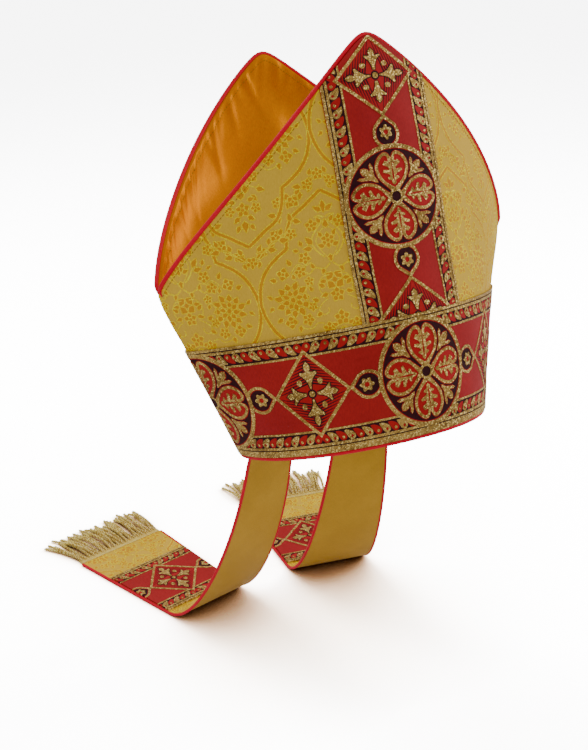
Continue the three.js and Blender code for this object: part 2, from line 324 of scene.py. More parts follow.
def mesh_piece(name, shape, materials, slot, *replaced, finish=None):
    """A piece on the crown's body from its points, faces and cloth places in millimetres, with
    its slot, which is not used, the node that it stands for, and the finish of each face."""
    points, faces, cloth = shape
    mesh = bpy.data.meshes.new(name)
    mesh.from_pydata((np.asarray(points) * METRE).tolist(), [], [list(f) for f in faces])
    for material in materials:
        mesh.materials.append(material)
    if finish is not None:
        mesh.polygons.foreach_set("material_index", np.asarray(finish, dtype=np.int32))
    corners = np.empty(len(mesh.loops), dtype=np.int32)
    mesh.loops.foreach_get("vertex_index", corners)
    layer = mesh.uv_layers.new(name="cloth")
    layer.data.foreach_set("uv", np.asarray(cloth, dtype=np.float32)[corners].ravel())
    mesh.polygons.foreach_set("use_smooth", np.ones(len(mesh.polygons), dtype=bool))
    mesh.update()
    mesh.set_sharp_from_angle(angle=math.radians(50))
    piece = bpy.data.objects.new(name, mesh)
    bpy.context.scene.collection.objects.link(piece)
    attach(piece, BODY)
    if replaced:
        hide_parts(*replaced)
    return piece


def joined(parts):
    """Several (points, faces, cloth) as one."""
    points, faces, cloth, start = [], [], [], 0
    for part_points, part_faces, part_cloth in parts:
        points.append(np.asarray(part_points))
        faces.extend([tuple(k + start for k in face) for face in part_faces])
        cloth.append(np.asarray(part_cloth))
        start += len(part_points)
    return np.concatenate(points), faces, np.concatenate(cloth)


def two_skins(rows, columns, place):
    """A closed sheet between two skins of a grid. place(u, v, skin) gives points for u and v
    from 0 to 1, where skin 0 is the side from which u runs right and v runs up."""
    u, v = np.meshgrid(np.linspace(0, 1, columns + 1), np.linspace(0, 1, rows + 1))
    u, v = u.ravel(), v.ravel()
    points = np.concatenate([place(u, v, 0), place(u, v, 1)])
    count, across = len(u), columns + 1
    faces = []
    for j in range(rows):
        for i in range(columns):
            a = j * across + i
            faces.append((a, a + 1, a + 1 + across, a + across))
            faces.append(tuple(k + count for k in (a, a + across, a + 1 + across, a + 1)))
    edge = list(range(across))
    edge += [j * across + columns for j in range(1, rows + 1)]
    edge += [rows * across + i for i in range(columns - 1, -1, -1)]
    edge += [j * across for j in range(rows - 1, 0, -1)]
    for a, b in zip(edge, edge[1:] + edge[:1]):
        faces.append((b, a, a + count, b + count))
    return points, faces


def grid_faces(columns, rows, corners):
    """The faces of a grid of points, each from the steps to its corners."""
    across = columns + 1
    return [
        [j * across + i + k for k in corners] for j in range(rows) for i in range(columns)
    ]


def lined(woven, lining, flip=False):
    """A woven sheet with its lining after it, whose finish comes after the brocade's."""
    (points, faces, cloth), finish = woven
    lining_points, lining_faces, lining_cloth = lining
    start = len(points)
    order = -1 if flip else 1
    faces = faces + [[k + start for k in face][::order] for face in lining_faces]
    points, cloth = np.concatenate([points, lining_points]), np.concatenate([cloth, lining_cloth])
    return (points, faces, cloth), finish + [len(BROCADE)] * len(lining_faces)


def cord_frames(path, closed):
    """Two directions square to a path at each of its points, carried along without a turn."""
    if closed:
        ahead, behind = np.roll(path, -1, 0), np.roll(path, 1, 0)
    else:
        ahead = np.concatenate([path[1:], 2 * path[-1:] - path[-2:-1]])
        behind = np.concatenate([2 * path[:1] - path[1:2], path[:-1]])
    along = ahead - behind
    along /= np.linalg.norm(along, axis=1)[:, None]
    normals = [np.cross(along[0], [0.0, 0.3, 1.0])]
    for direction in along[1:]:
        carried = normals[-1] - direction * np.dot(normals[-1], direction)
        normals.append(carried / np.linalg.norm(carried))
    normals[0] = normals[0] / np.linalg.norm(normals[0])
    normals = np.array(normals)
    return normals, np.cross(along, normals)


def cord_mesh(path, radius, sides=12, closed=False):
    """A round cord along points, with its cloth coordinates along and around it."""
    path = np.asarray(path, float)
    normals, others = cord_frames(path, closed)
    run = np.concatenate([[0], np.cumsum(np.linalg.norm(np.diff(path, axis=0), axis=1))])
    turns = np.arange(sides) / sides * 2 * math.pi
    radius = np.broadcast_to(np.asarray(radius, float), (len(path),))
    points, cloth = [], []
    for k, centre in enumerate(path):
        ring = np.cos(turns)[:, None] * normals[k] + np.sin(turns)[:, None] * others[k]
        points.append(centre + ring * radius[k])
        cloth.append(np.stack([np.full(sides, run[k]), turns * radius[k]], 1))
    rings = len(path)
    faces = []
    for k in range(rings if closed else rings - 1):
        here, there = k * sides, (k + 1) % rings * sides
        for i in range(sides):
            beside = (i + 1) % sides
            faces.append((here + i, here + beside, there + beside, there + i))
    if not closed:
        faces.append(tuple(range(sides - 1, -1, -1)))
        faces.append(tuple((rings - 1) * sides + i for i in range(sides)))
    return np.concatenate(points), faces, np.concatenate(cloth)


def inside(points, polygon):
    """Which points lie in a closed polygon."""
    x, y = points[:, 0], points[:, 1]
    found = np.zeros(len(points), dtype=bool)
    x0, y0 = polygon[:, 0], polygon[:, 1]
    x1, y1 = np.roll(x0, -1), np.roll(y0, -1)
    for ax, ay, bx, by in zip(x0, y0, x1, y1):
        if ay == by:
            continue
        crosses = (ay > y) != (by > y)
        found ^= crosses & (x < (bx - ax) * (y - ay) / (by - ay) + ax)
    return found


def finely(loop, step):
    """A closed outline with points added where its sides are longer than step."""
    ahead = np.roll(loop, -1, 0)
    counts = np.ceil(np.linalg.norm(ahead - loop, axis=1) / step).astype(int)
    parts = [
        a + (b - a) * (np.arange(max(1, n)) / max(1, n))[:, None]
        for a, b, n in zip(loop, ahead, counts)
    ]
    return np.concatenate(parts)


def motifs_within(motifs, low, high):
    """The motifs that reach into a box."""
    kept = []
    for polygon, finish in motifs:
        polygon = np.asarray(polygon, float)
        if (polygon.max(0) > low).all() and (polygon.min(0) < high).all():
            kept.append((polygon, finish))
    return kept


def cut_cloth(outline, motifs, grid):
    """Triangles that fill an outline and keep to the edges of its motifs, all wound one way."""
    flat, edges = [], []
    for loop in [outline] + [polygon for polygon, _ in motifs]:
        loop = finely(loop, grid)
        start = len(flat)
        flat.extend(loop.tolist())
        edges.extend((start + k, start + (k + 1) % len(loop)) for k in range(len(loop)))
    low, high = outline.min(0), outline.max(0)
    xs = np.arange(low[0] + grid / 2, high[0], grid)
    ys = np.arange(low[1] + grid / 2, high[1], grid)
    spots = np.stack(np.meshgrid(xs, ys), -1).reshape(-1, 2)
    flat.extend(spots[inside(spots, outline)].tolist())
    vertices, _, faces, *_ = delaunay_2d_cdt([Vector(p) for p in flat], edges, [], 0, 1e-4)
    flat = np.array([tuple(v) for v in vertices])
    triangles = np.array([f for f in faces if len(f) == 3])
    corners = flat[triangles]
    turn = np.cross(corners[:, 1] - corners[:, 0], corners[:, 2] - corners[:, 0])
    triangles = np.where((turn < 0)[:, None], triangles[:, ::-1], triangles)
    triangles = triangles[np.abs(turn) > 1e-6]
    return flat, triangles[inside(flat[triangles].mean(1), outline)]


def woven_sheet(outline, motifs, grid, place, levels, edge_drop, base=0, flip=False):
    """Cloth cut to an outline, in cloth coordinates, with its motifs woven in: motifs are
    (polygon, finish), later ones over earlier ones, and each finish stands at its level."""
    outline = np.asarray(outline, float)
    motifs = motifs_within(motifs, outline.min(0), outline.max(0))
    flat, triangles = cut_cloth(outline, motifs, grid)
    centres = flat[triangles].mean(1)
    finish = np.full(len(triangles), base)
    for polygon, value in motifs:
        near = ((centres >= polygon.min(0)) & (centres <= polygon.max(0))).all(1)
        spots = np.flatnonzero(near)
        if len(spots):
            finish[spots[inside(centres[spots], polygon)]] = value
    return sheet_mesh(flat, triangles, finish, place, np.asarray(levels, float), edge_drop, flip)


def sheet_mesh(flat, triangles, finish, place, levels, edge_drop, flip):
    """Triangles lifted to the level of their finish, with walls where levels meet and
    a turned-down edge round the cut."""
    heights = levels[finish]
    steps = np.unique(np.append(levels, edge_drop))
    rank = {value: k for k, value in enumerate(steps)}
    ranks = np.array([rank[h] for h in heights])
    size = len(flat)
    faces = (triangles + ranks[:, None] * size).tolist()
    colours = finish.tolist()
    sides = {}
    for number, triangle in enumerate(triangles):
        for k in range(3):
            a, b = int(triangle[k]), int(triangle[(k + 1) % 3])
            sides[(a, b)] = number
    drop = rank[edge_drop]
    for (a, b), number in sides.items():
        other = sides.get((b, a))
        here = ranks[number]
        there = drop if other is None else ranks[other]
        if other is not None and there >= here:
            continue
        faces.append([b + here * size, a + here * size, a + there * size, b + there * size])
        colours.append(int(finish[number]))
    used, inverse = np.unique(np.concatenate([np.asarray(f) for f in faces]), return_inverse=True)
    points = place(flat[used % size], steps[used // size])
    cloth = flat[used % size]
    rebuilt, start = [], 0
    for face in faces:
        corners = inverse[start : start + len(face)].tolist()
        rebuilt.append(corners[::-1] if flip else corners)
        start += len(face)
    return (points, rebuilt, cloth), colours


# Motifs of the galloon

# Finishes of the galloon, in the order of its materials, and how far each stands up
FIELD, MAROON, GOLD, SCARLET = range(4)
GALLOON_RELIEF = (0, -0.06, 0.28, 0.02)

HALF_PERIOD = 85.6
MEDALLION_RADIUS = 40.8
MEDALLION_SQUEEZE = 0.912
RING_WIDTH = 3.4
DIAMOND_HALF_ALONG = 28.8
DIAMOND_HALF_ACROSS = 33.3
DIAMOND_LINE_SHARE = 0.895
BORDER_LINES = ((41.0, 43.2), (38.1, 40.1), (27.4, 28.9))
BORDER_GROUND = (28.8, 43.2)
PAISLEY_PITCH = HALF_PERIOD / 13
PAISLEY_LEVEL = 35.2


def smooth_line(points, steps=4):
    """A rounded line through points, without its last point."""
    p = np.asarray(points, float)
    ends = np.concatenate([2 * p[:1] - p[1:2], p, 2 * p[-1:] - p[-2:-1]])
    u = (np.arange(steps) / steps)[:, None]
    parts = []
    for a, b, c, d in zip(ends, ends[1:], ends[2:], ends[3:]):
        cubic = (2 * a - 5 * b + 4 * c - d) * u**2 + (3 * b - a - 3 * c + d) * u**3
        parts.append(b + ((c - a) * u + cubic) / 2)
    return np.concatenate(parts)


def both_halves(half):
    """A closed outline from its upper half, which begins and ends on the axis or off it."""
    half = np.asarray(half, float)
    lower = half[::-1] * [1, -1]
    keep = np.abs(lower[:, 1]) > 1e-6
    return np.concatenate([half, lower[keep]])


def ellipse(x, y, along, across, count=24):
    turns = np.arange(count) / count * 2 * math.pi
    return np.stack([x + along * np.cos(turns), y + across * np.sin(turns)], 1)


def ribbon(line, width):
    """The outline of a stroke along a line; width may change along it."""
    line = np.asarray(line, float)
    along = np.gradient(line, axis=0)
    along /= np.linalg.norm(along, axis=1)[:, None]
    side = np.stack([-along[:, 1], along[:, 0]], 1)
    half = np.interp(np.linspace(0, 1, len(line)), np.linspace(0, 1, np.size(width)), width) / 2
    return np.concatenate([line + side * half[:, None], (line - side * half[:, None])[::-1]])


def grown(polygon, by):
    """An outline moved outwards."""
    p = np.asarray(polygon, float)
    along = np.roll(p, -1, 0) - np.roll(p, 1, 0)
    length = np.linalg.norm(along, axis=1)[:, None]
    out = np.stack([along[:, 1], -along[:, 0]], 1) / np.maximum(length, 1e-9)
    x, y = p[:, 0], p[:, 1]
    area = np.sum(x * np.roll(y, -1) - np.roll(x, -1) * y)
    return p + out * (by if area > 0 else -by)


def rotated(polygon, angle):
    c, s = math.cos(angle), math.sin(angle)
    return np.asarray(polygon, float) @ np.array([[c, s], [-s, c]])


def moved(shapes, along=0.0, across=0.0, flip_along=1, flip_across=1):
    """Motifs mirrored and then moved."""
    scale, shift = np.array([flip_along, flip_across]), np.array([along, across])
    return [(np.asarray(p) * scale + shift, finish) for p, finish in shapes]


HEART_OUTER = [
    (5.2, 3.4), (10, 7.5), (14, 10.9), (18.2, 12.9), (23.7, 13.75), (28.4, 12.5),
    (32.2, 9.7), (34.8, 5.3), (33.4, 2.0), (30.5, 0.7),
]
HEART_INNER = [
    (7, 0), (10.4, 4.7), (14.2, 8.3), (18.9, 10.6), (23.7, 11.4), (27.7, 10.2),
    (31.0, 7.7), (32.3, 5), (31.2, 3.2), (28.4, 2.4), (26.6, 0.3),
]
HEART_HOOK = [(31.4, 1.9), (28.6, 1.4), (26.9, 2.7), (27.0, 4.8), (28.7, 5.7)]
LEAF = [
    (9.0, 0), (10.7, 1.7), (12.4, 1.5), (14.2, 4.9), (15.5, 4.3), (15.7, 1.9), (17.6, 3.2),
    (19.6, 8.0), (21.4, 7.4), (21.2, 4.6), (20.6, 2.4), (23.2, 3.4), (25.6, 7.3), (27.2, 6.4),
    (26.2, 3.4), (25.2, 1.6), (26.6, 0.8), (29.6, 0.4),
]
LEAF_VEIN = [(11.4, 0), (13.6, 0.55), (16.5, 0.8), (20, 0.55), (25, 0.28), (31, 0.2)]
SPRIG = [
    (18.2, 0), (20.0, 1.1), (23.6, 2.0), (26.6, 4.6), (29.2, 7.0), (32.2, 8.0), (31.6, 6.0),
    (29.2, 4.0), (28.4, 2.1), (31.0, 3.0), (33.6, 2.0), (35.2, 0),
]


def medallion():
    """A ringed flower of four heart petals round a hub, with sprigs between them."""
    outer = MEDALLION_RADIUS
    shapes = [
        (ellipse(0, 0, outer, outer, 80), GOLD),
        (ellipse(0, 0, outer - RING_WIDTH, outer - RING_WIDTH, 72), SCARLET),
        (ellipse(0, 0, outer - RING_WIDTH - 0.7, outer - RING_WIDTH - 0.7, 72), MAROON),
    ]
    heart = both_halves(np.concatenate([smooth_line(HEART_OUTER, 3), HEART_OUTER[-1:]]))
    inner = both_halves(np.concatenate([smooth_line(HEART_INNER, 3), HEART_INNER[-1:]]))
    sprig = both_halves(SPRIG)
    leaf = both_halves(LEAF)
    hook = ribbon(smooth_line(HEART_HOOK, 3), (2.1, 1.9, 1.3))
    for quarter in range(4):
        turn = quarter * math.pi / 2
        petal = [(grown(heart, 0.6), SCARLET), (heart, GOLD), (inner, SCARLET)]
        petal += [(leaf, GOLD), (both_halves(LEAF_VEIN), SCARLET)]
        petal += [(hook, GOLD), (hook * [1, -1], GOLD)]
        shapes += [(rotated(p, turn), finish) for p, finish in petal]
        turn += math.pi / 4
        shapes.append((rotated(grown(sprig, 0.5), turn), SCARLET))
        shapes.append((rotated(sprig, turn), GOLD))
    shapes += [(ellipse(0, 0, 6.1, 5.8, 16), GOLD), (ellipse(0, 0, 4.1, 3.8, 16), MAROON)]
    return [(p * [MEDALLION_SQUEEZE, 1], finish) for p, finish in shapes]


def teardrop(centre, radius, tip, count=18):
    """A round bulb drawn out to a point."""
    turns = np.linspace(math.radians(52), math.radians(308), count)
    bulb = np.stack([centre + radius * np.cos(turns), radius * np.sin(turns)], 1)
    return np.concatenate([[[tip, 0.0]], bulb])


def drop():
    """The drop between a medallion and a diamond, with a small flower in it."""
    shapes = [
        (teardrop(44.5, 10.8, 58.5), GOLD),
        (teardrop(44.5, 8.6, 55.2), SCARLET),
        (teardrop(44.5, 8.0, 54.4), MAROON),
    ]
    turns = np.arange(30) / 30 * 2 * math.pi
    radius = 4.6 + 0.9 * np.cos(6 * turns)
    flower = np.stack([45.6 + radius * np.cos(turns), radius * np.sin(turns)], 1)
    return shapes + [(flower, GOLD), (ellipse(45.6, 0, 1.9, 1.9, 10), SCARLET)]


ARM_ALONG = [
    (4.1, 0.9), (7.5, 1.6), (10.5, 3.0), (12.3, 5.0), (13.6, 6.7), (14.4, 6.0), (13.9, 3.6),
    (14.0, 1.6), (15.2, 2.4), (17.0, 2.1), (19.2, 0),
]
ARM_ACROSS = [
    (3.8, 0.4), (8, 1.2), (11, 2.6), (13.4, 4.6), (15.2, 6.4), (16.6, 5.9), (16.1, 3.4),
    (16.8, 1.0), (18.4, 2.0), (20.4, 2.3), (22.3, 1.5), (24.2, 0),
]
DIAMOND_STRIPES = 11
MIRRORS = ((1, 1), (-1, 1), (1, -1), (-1, -1))


def diamond():
    """A diamond with a cross of four lily arms on a striped ground."""
    a, b = DIAMOND_HALF_ALONG, DIAMOND_HALF_ACROSS
    rhombus = np.array([(a, 0), (0, b), (-a, 0), (0, -b)], float)
    ground = rhombus * DIAMOND_LINE_SHARE
    shapes = [(rhombus, GOLD), (ground, SCARLET)]
    reach, rise = ground[0, 0], ground[1, 1]
    for k in range(DIAMOND_STRIPES):
        level = (k + 0.6) * rise / DIAMOND_STRIPES
        start = reach * (1 - level / rise)
        if start < 2:
            continue
        end = level + 0.27 * start
        stripe = np.array([
            (start, level - 0.4), (start - 1.2, level + 0.4), (0.2, end + 0.75), (0.2, end - 0.6)
        ])
        shapes += [(stripe * flip, MAROON) for flip in MIRRORS]
    arms = [(ARM_ALONG, 0), (ARM_ACROSS, 1), (ARM_ALONG, 2), (ARM_ACROSS, 3)]
    for half, quarter in arms:
        arm = rotated(both_halves(half), quarter * math.pi / 2)
        shapes.append((grown(arm, 0.8), MAROON))
        shapes.append((arm, GOLD))
    shapes += [(ellipse(0, 0, 3.4, 3.5, 14), MAROON), (ellipse(0, 0, 2.1, 2.2, 12), GOLD)]
    for x, y in MIRRORS:
        shapes.append((ellipse(7.6 * x, 9.0 * y, 1.9, 2.5, 8), GOLD))
    return shapes


PAISLEY = [
    (2.0, 1.9), (0.4, 2.8), (-1.4, 2.4), (-2.6, 1.0), (-2.7, -0.8), (-1.8, -2.4),
    (-0.2, -3.7), (1.8, -4.7), (3.6, -5.1), (5.3, -4.9), (4.7, -2.9), (3.7, -1.2), (3.0, 0.4),
]


def paisleys():
    """The border's row from a medallion to the next diamond, on its upper edge."""
    shapes = []
    for n in range(2, 13):
        gold = n % 2 == 1
        head = (n + 0.5) * PAISLEY_PITCH
        body = [(np.array(PAISLEY), GOLD if gold else SCARLET)]
        body.append((ellipse(-0.1, 0.1, 1.0, 1.2, 8), SCARLET if gold else GOLD))
        shapes += moved(body, head, PAISLEY_LEVEL)
    return shapes


def galloon_motifs(low, high):
    """Every motif of a galloon between two places along it, a medallion at 0."""
    shapes = []
    for edge in (1, -1):
        for (a, b), finish in (
            (BORDER_GROUND, MAROON),
            *((line, GOLD) for line in BORDER_LINES),
        ):
            strip = [(low - 5, a * edge), (high + 5, a * edge)]
            strip += [(high + 5, b * edge), (low - 5, b * edge)]
            shapes.append((np.array(strip, float), finish))
    first = math.floor(low / HALF_PERIOD) - 1
    last = math.ceil(high / HALF_PERIOD) + 1
    rounds = [k * HALF_PERIOD for k in range(first, last + 1) if k % 2 == 0]
    diamonds = [k * HALF_PERIOD for k in range(first, last + 1) if k % 2]
    for along in rounds:
        for way in (1, -1):
            for edge in (1, -1):
                shapes += moved(paisleys(), along, 0, way, edge)
    for along in diamonds:
        shapes += moved(diamond(), along)
    for along in rounds:
        shapes += moved(drop(), along) + moved(drop(), along, 0, -1) + moved(medallion(), along)
    return shapes


# Motifs of the brocade

# Finishes of the brocade, in the order of its materials, and how far each stands up
GROUND, AMBER, GLINT = range(3)
BROCADE_RELIEF = (0, 0.08, 0.16)

FRAME_PITCH = 112
FRAME_ROW = 115
FRAME_LINE = 2.0
GLINT_EDGE = 0.75
LEAF_FULLNESS = 1.15
FRAME_PROFILE = [
    (0, 72.5), (6, 68.5), (14, 63), (22, 58), (26, 52), (28.5, 45), (30, 36), (36, 32.5),
    (44, 26.5), (50, 19), (54, 9.5), (55.6, 0),
]


def edged(polygon, by=GLINT_EDGE):
    """A shape in amber with a glittering edge."""
    return [(grown(polygon, by), GLINT), (np.asarray(polygon, float), AMBER)]


def sprout(x, y, length, width, angle):
    """A pointed leaf from its foot, angle in degrees from the across direction."""
    half = [(0, 0), (0.3, 0.5), (0.55, 0.42), (0.8, 0.2), (1, 0)]
    leaf = both_halves(np.array(half) * [length, width * LEAF_FULLNESS])
    return edged(rotated(leaf, math.radians(angle)) + [x, y])


def stem(points, width=1.2):
    return [(ribbon(smooth_line(points, 3), (width, width)), GLINT)]


def bloom(x, y, radius, petals, turn=0.0):
    """A small flower seen from above."""
    shapes = []
    for k in range(petals):
        angle = turn + 360 * k / petals
        shapes += sprout(
            x + 0.3 * radius * math.cos(math.radians(angle)),
            y + 0.3 * radius * math.sin(math.radians(angle)),
            0.72 * radius, 3.0 * radius / petals, angle,
        )
    return shapes + [(ellipse(x, y, radius * 0.24, radius * 0.24, 7), AMBER)]


def rosette(x, y):
    """The large flower at the side of each frame."""
    shapes = []
    for count, foot, length, width, turn in ((11, 7.2, 5.6, 3.4, 8), (8, 3.0, 4.6, 3.0, 25)):
        for k in range(count):
            angle = turn + 360 * k / count
            stretch = 1 + 0.16 * math.cos(3 * math.radians(angle))
            shapes += sprout(
                x + foot * math.cos(math.radians(angle)),
                y + foot * math.sin(math.radians(angle)),
                length * stretch, width, angle + 14,
            )
    return shapes + edged(ellipse(x, y, 1.7, 1.7, 9))


def drawn(rows):
    """Motifs from rows of a maker and its sizes, later ones over earlier ones."""
    return [shape for make, *sizes in rows for shape in make(*sizes)]


# The bouquet up the middle of a frame, as a maker and its sizes
AXIS_FLOWERS = (
    (sprout, 0, 57, 8.5, 4.2, 90), (bloom, 0, 37, 5.4, 6, 30), (bloom, 0, 9, 7.2, 4, 45),
    (bloom, 0, -1.5, 5.0, 5, 90), (bloom, 0, -18, 5.5, 5, 90), (bloom, 0, -46, 5, 5, 90),
    (sprout, 0, 27, 5, 3, -90), (sprout, 0, 46, 6, 3.2, 90), (bloom, 0, -32, 6.6, 4, 0),
    (sprout, 0, -54, 8, 4, -90),
)

# What stands beside the axis of a frame on its right side
HALF_BOUQUET = (
    (stem, [(0.5, 53.5), (4, 55), (9, 54)]), (sprout, 1.5, 58, 6.5, 3, 35),
    (bloom, 10, 49, 4.6, 5, 18), (sprout, 3.5, 50, 4.5, 2.4, 60),
    (stem, [(0.5, 52), (6, 47), (11.5, 39), (9, 31), (1, 23)]),
    (stem, [(1, 24), (6, 31), (8.5, 38), (4.5, 44), (0.5, 47)], 0.7),
    (sprout, 11.5, 36, 7, 3.4, 55), (sprout, 12, 33, 6.5, 3, 8), (sprout, 3, 33, 5, 2.6, 20),
    (sprout, 4, 40, 4.4, 2.2, 60), (bloom, 18.5, 27.5, 4.4, 5, 50),
    (stem, [(1, 21), (6, 17.5), (12, 19.5), (17, 16), (20, 19)]), (sprout, 6, 18, 4.2, 2.2, -70),
    (sprout, 13, 19, 4.2, 2.2, 70), (sprout, 6, 9, 5, 2.4, 0),
    (stem, [(3, 13), (9, 12), (12, 6), (11, 1), (7, -3)], 0.8), (sprout, 8, 5, 5, 2.6, 35),
    (sprout, 6.5, 0, 5.5, 2.4, -12),
    (stem, [(7, -3), (12, -6), (15, -10), (12, -14), (8, -12), (9, -8)], 0.8),
    (sprout, 14, -4, 5, 2.6, 30), (sprout, 13.5, -12, 4.6, 2.4, -30),
    (bloom, 10, -24, 4.6, 5, 20), (sprout, 4, -23, 4.2, 2.2, 30),
    (stem, [(0.5, -24), (6, -29), (12, -32), (16, -29)], 0.8), (sprout, 12, -33, 6, 3, -20),
    (sprout, 8, -37, 5.5, 2.8, -55), (sprout, 4.5, -40, 5, 2.6, 10),
    (bloom, 9.5, -46, 3.6, 5, 40), (sprout, 3, -51, 5.5, 2.8, -35), (sprout, 4, -57, 5, 2.6, -60),
    (rosette, 32, 0), (bloom, 23, 18.5, 4.2, 5, 5), (bloom, 35.5, 19, 4.4, 4, 20),
    (sprout, 29, 24, 5, 2.6, 65), (sprout, 41, 15, 5, 2.6, 20), (sprout, 28, 14, 4, 2, 80),
    (bloom, 24, -15.5, 4.2, 5, 45), (bloom, 36.5, -15.5, 4.4, 4, 0),
    (sprout, 30, -19, 4.6, 2.4, -75), (sprout, 42, -12, 4.6, 2.4, -25),
    (stem, [(14, 24), (19, 22), (24, 24), (28, 21), (31, 17)], 0.8),
    (stem, [(13, -20), (18, -19), (22, -22), (28, -21), (31, -17)], 0.8),
    (stem, [(20, 8), (22, 3), (21, -3), (23, -8)], 0.8), (bloom, 18, 11, 3.2, 5, 20),
    (sprout, 19, 36, 4.4, 2.2, 70), (sprout, 22, 33, 4, 2, 20), (bloom, 19, -7, 3.2, 5, 60),
    (sprout, 17, 4, 3.6, 2, 60), (sprout, 46.5, 3, 4, 2, 40), (sprout, 47, -3, 4, 2, -40),
)

# Leaves in the channel above the right shoulder of a frame
GARLAND = (
    (bloom, 0, 84, 4.2, 5, 90), (sprout, 4, 81, 6.5, 3, -15), (sprout, 6, 77, 5, 2.6, -60),
    (stem, [(4, 83), (12, 76), (22, 71), (30, 65), (34, 57)], 0.8), (sprout, 13, 77, 6, 3, 10),
    (sprout, 14, 73.5, 5, 2.6, -75), (sprout, 22, 72, 6.5, 3.2, 5),
    (sprout, 23, 68.5, 5, 2.6, -70), (bloom, 31, 69, 3.8, 5, 30), (sprout, 33.5, 60, 6, 3, 20),
    (sprout, 32, 60, 5.5, 2.8, -95), (bloom, 36, 47, 4.2, 4, 45), (sprout, 38, 42, 4.6, 2.4, -30),
    (bloom, 47.5, 37, 3.8, 5, 0), (sprout, 50, 31, 4.6, 2.4, -70),
)


def frame_lines():
    """The outline of one frame."""
    upper = smooth_line(FRAME_PROFILE[:7], 3)
    lower = smooth_line(FRAME_PROFILE[6:], 3)
    quarter = np.concatenate([upper, lower, FRAME_PROFILE[-1:]])
    shapes = []
    for flip in MIRRORS:
        line = quarter * flip
        shapes.append((ribbon(line, (FRAME_LINE + 2 * GLINT_EDGE,) * 2), GLINT))
        shapes.append((ribbon(line, (FRAME_LINE,) * 2), AMBER))
    return shapes


def brocade_motifs(outline, left_out=()):
    """Every motif of the brocade that touches an outline, but not wholly in a covered box."""
    half = drawn(HALF_BOUQUET) + drawn(GARLAND)
    below = moved(drawn(GARLAND), 0, 0, 1, -1)
    unit = frame_lines() + drawn(AXIS_FLOWERS)
    unit += half + moved(half, 0, 0, -1, 1)
    unit += below + moved(below, 0, 0, -1, 1)
    low, high = np.min(outline, 0), np.max(outline, 0)
    shapes = []
    for row in range(math.floor(low[1] / FRAME_ROW) - 1, math.ceil(high[1] / FRAME_ROW) + 2):
        shift = FRAME_PITCH / 2 if row % 2 else 0
        for column in range(-4, 4):
            across = column * FRAME_PITCH + shift
            shapes += moved(unit, across, row * FRAME_ROW)
    starts = np.cumsum([0] + [len(polygon) for polygon, _ in shapes])[:-1]
    touching = inside(np.concatenate([polygon for polygon, _ in shapes]), outline)
    touching = np.logical_or.reduceat(touching, starts)
    kept = []
    for (polygon, finish), touches in zip(shapes, touching):
        a, b = polygon.min(0), polygon.max(0)
        if not touches:
            continue
        covered = any(
            a[0] > x0 and a[1] > y0 and b[0] < x1 and b[1] < y1 for x0, y0, x1, y1 in left_out
        )
        if not covered:
            kept.append((polygon, finish))
    return kept


# Shader groups and materials


def add(tree, kind, inputs=None, **settings):
    """A node with its settings, and its inputs as values or as links."""
    made = tree.nodes.new(kind)
    for key, value in settings.items():
        setattr(made, key, value)
    for key, value in (inputs or {}).items():
        socket = made.inputs[key]
        if isinstance(value, bpy.types.NodeSocket):
            tree.links.new(value, socket)
        else:
            socket.default_value = value
    return made


def shader_group(name, inputs, outputs):
    """An empty node group with named inputs and outputs, as (tree, input node, output node)."""
    tree = bpy.data.node_groups.new(name, "ShaderNodeTree")
    for label, kind, value in inputs:
        socket = tree.interface.new_socket(label, in_out="INPUT", socket_type=kind)
        if value is not None:
            socket.default_value = value
    for label, kind in outputs:
        tree.interface.new_socket(label, in_out="OUTPUT", socket_type=kind)
    return tree, add(tree, "NodeGroupInput"), add(tree, "NodeGroupOutput")


VALUE = "NodeSocketFloat"
VECTOR = "NodeSocketVector"


def math_node(tree, operation, a, b=0.0):
    return add(tree, "ShaderNodeMath", {0: a, 1: b}, operation=operation).outputs[0]


def multiply_add(tree, a, b, c):
    made = add(tree, "ShaderNodeMath", {0: a, 1: b, 2: c}, operation="MULTIPLY_ADD")
    return made.outputs[0]


def thread_group():
    """Threads lying side by side at a slant: their round backs, and how each one varies."""
    tree, given, put = shader_group(
        "threads",
        [("Cloth", VECTOR, None), ("Pitch", VALUE, 0.8), ("Slant", VALUE, 0.0)],
        [("Height", VALUE), ("Tone", VALUE)],
    )
    turned = add(
        tree, "ShaderNodeVectorRotate",
        {"Vector": given.outputs["Cloth"], "Angle": given.outputs["Slant"]},
        rotation_type="Z_AXIS",
    )
    parts = add(tree, "ShaderNodeSeparateXYZ", {0: turned.outputs[0]})
    count = math_node(tree, "DIVIDE", parts.outputs["X"], given.outputs["Pitch"])
    wave = math_node(tree, "SINE", math_node(tree, "MULTIPLY", count, 2 * math.pi))
    height = multiply_add(tree, wave, 0.5, 0.5)
    thread = math_node(tree, "FLOOR", count)
    run = math_node(tree, "MULTIPLY", parts.outputs["Y"], 0.35)
    spot = add(tree, "ShaderNodeCombineXYZ", {"X": thread, "Y": run})
    noise = add(tree, "ShaderNodeTexNoise", {"Vector": spot.outputs[0], "Scale": 0.9, "Detail": 2.0})
    tree.links.new(height, put.inputs["Height"])
    tree.links.new(noise.outputs["Fac"], put.inputs["Tone"])
    return tree


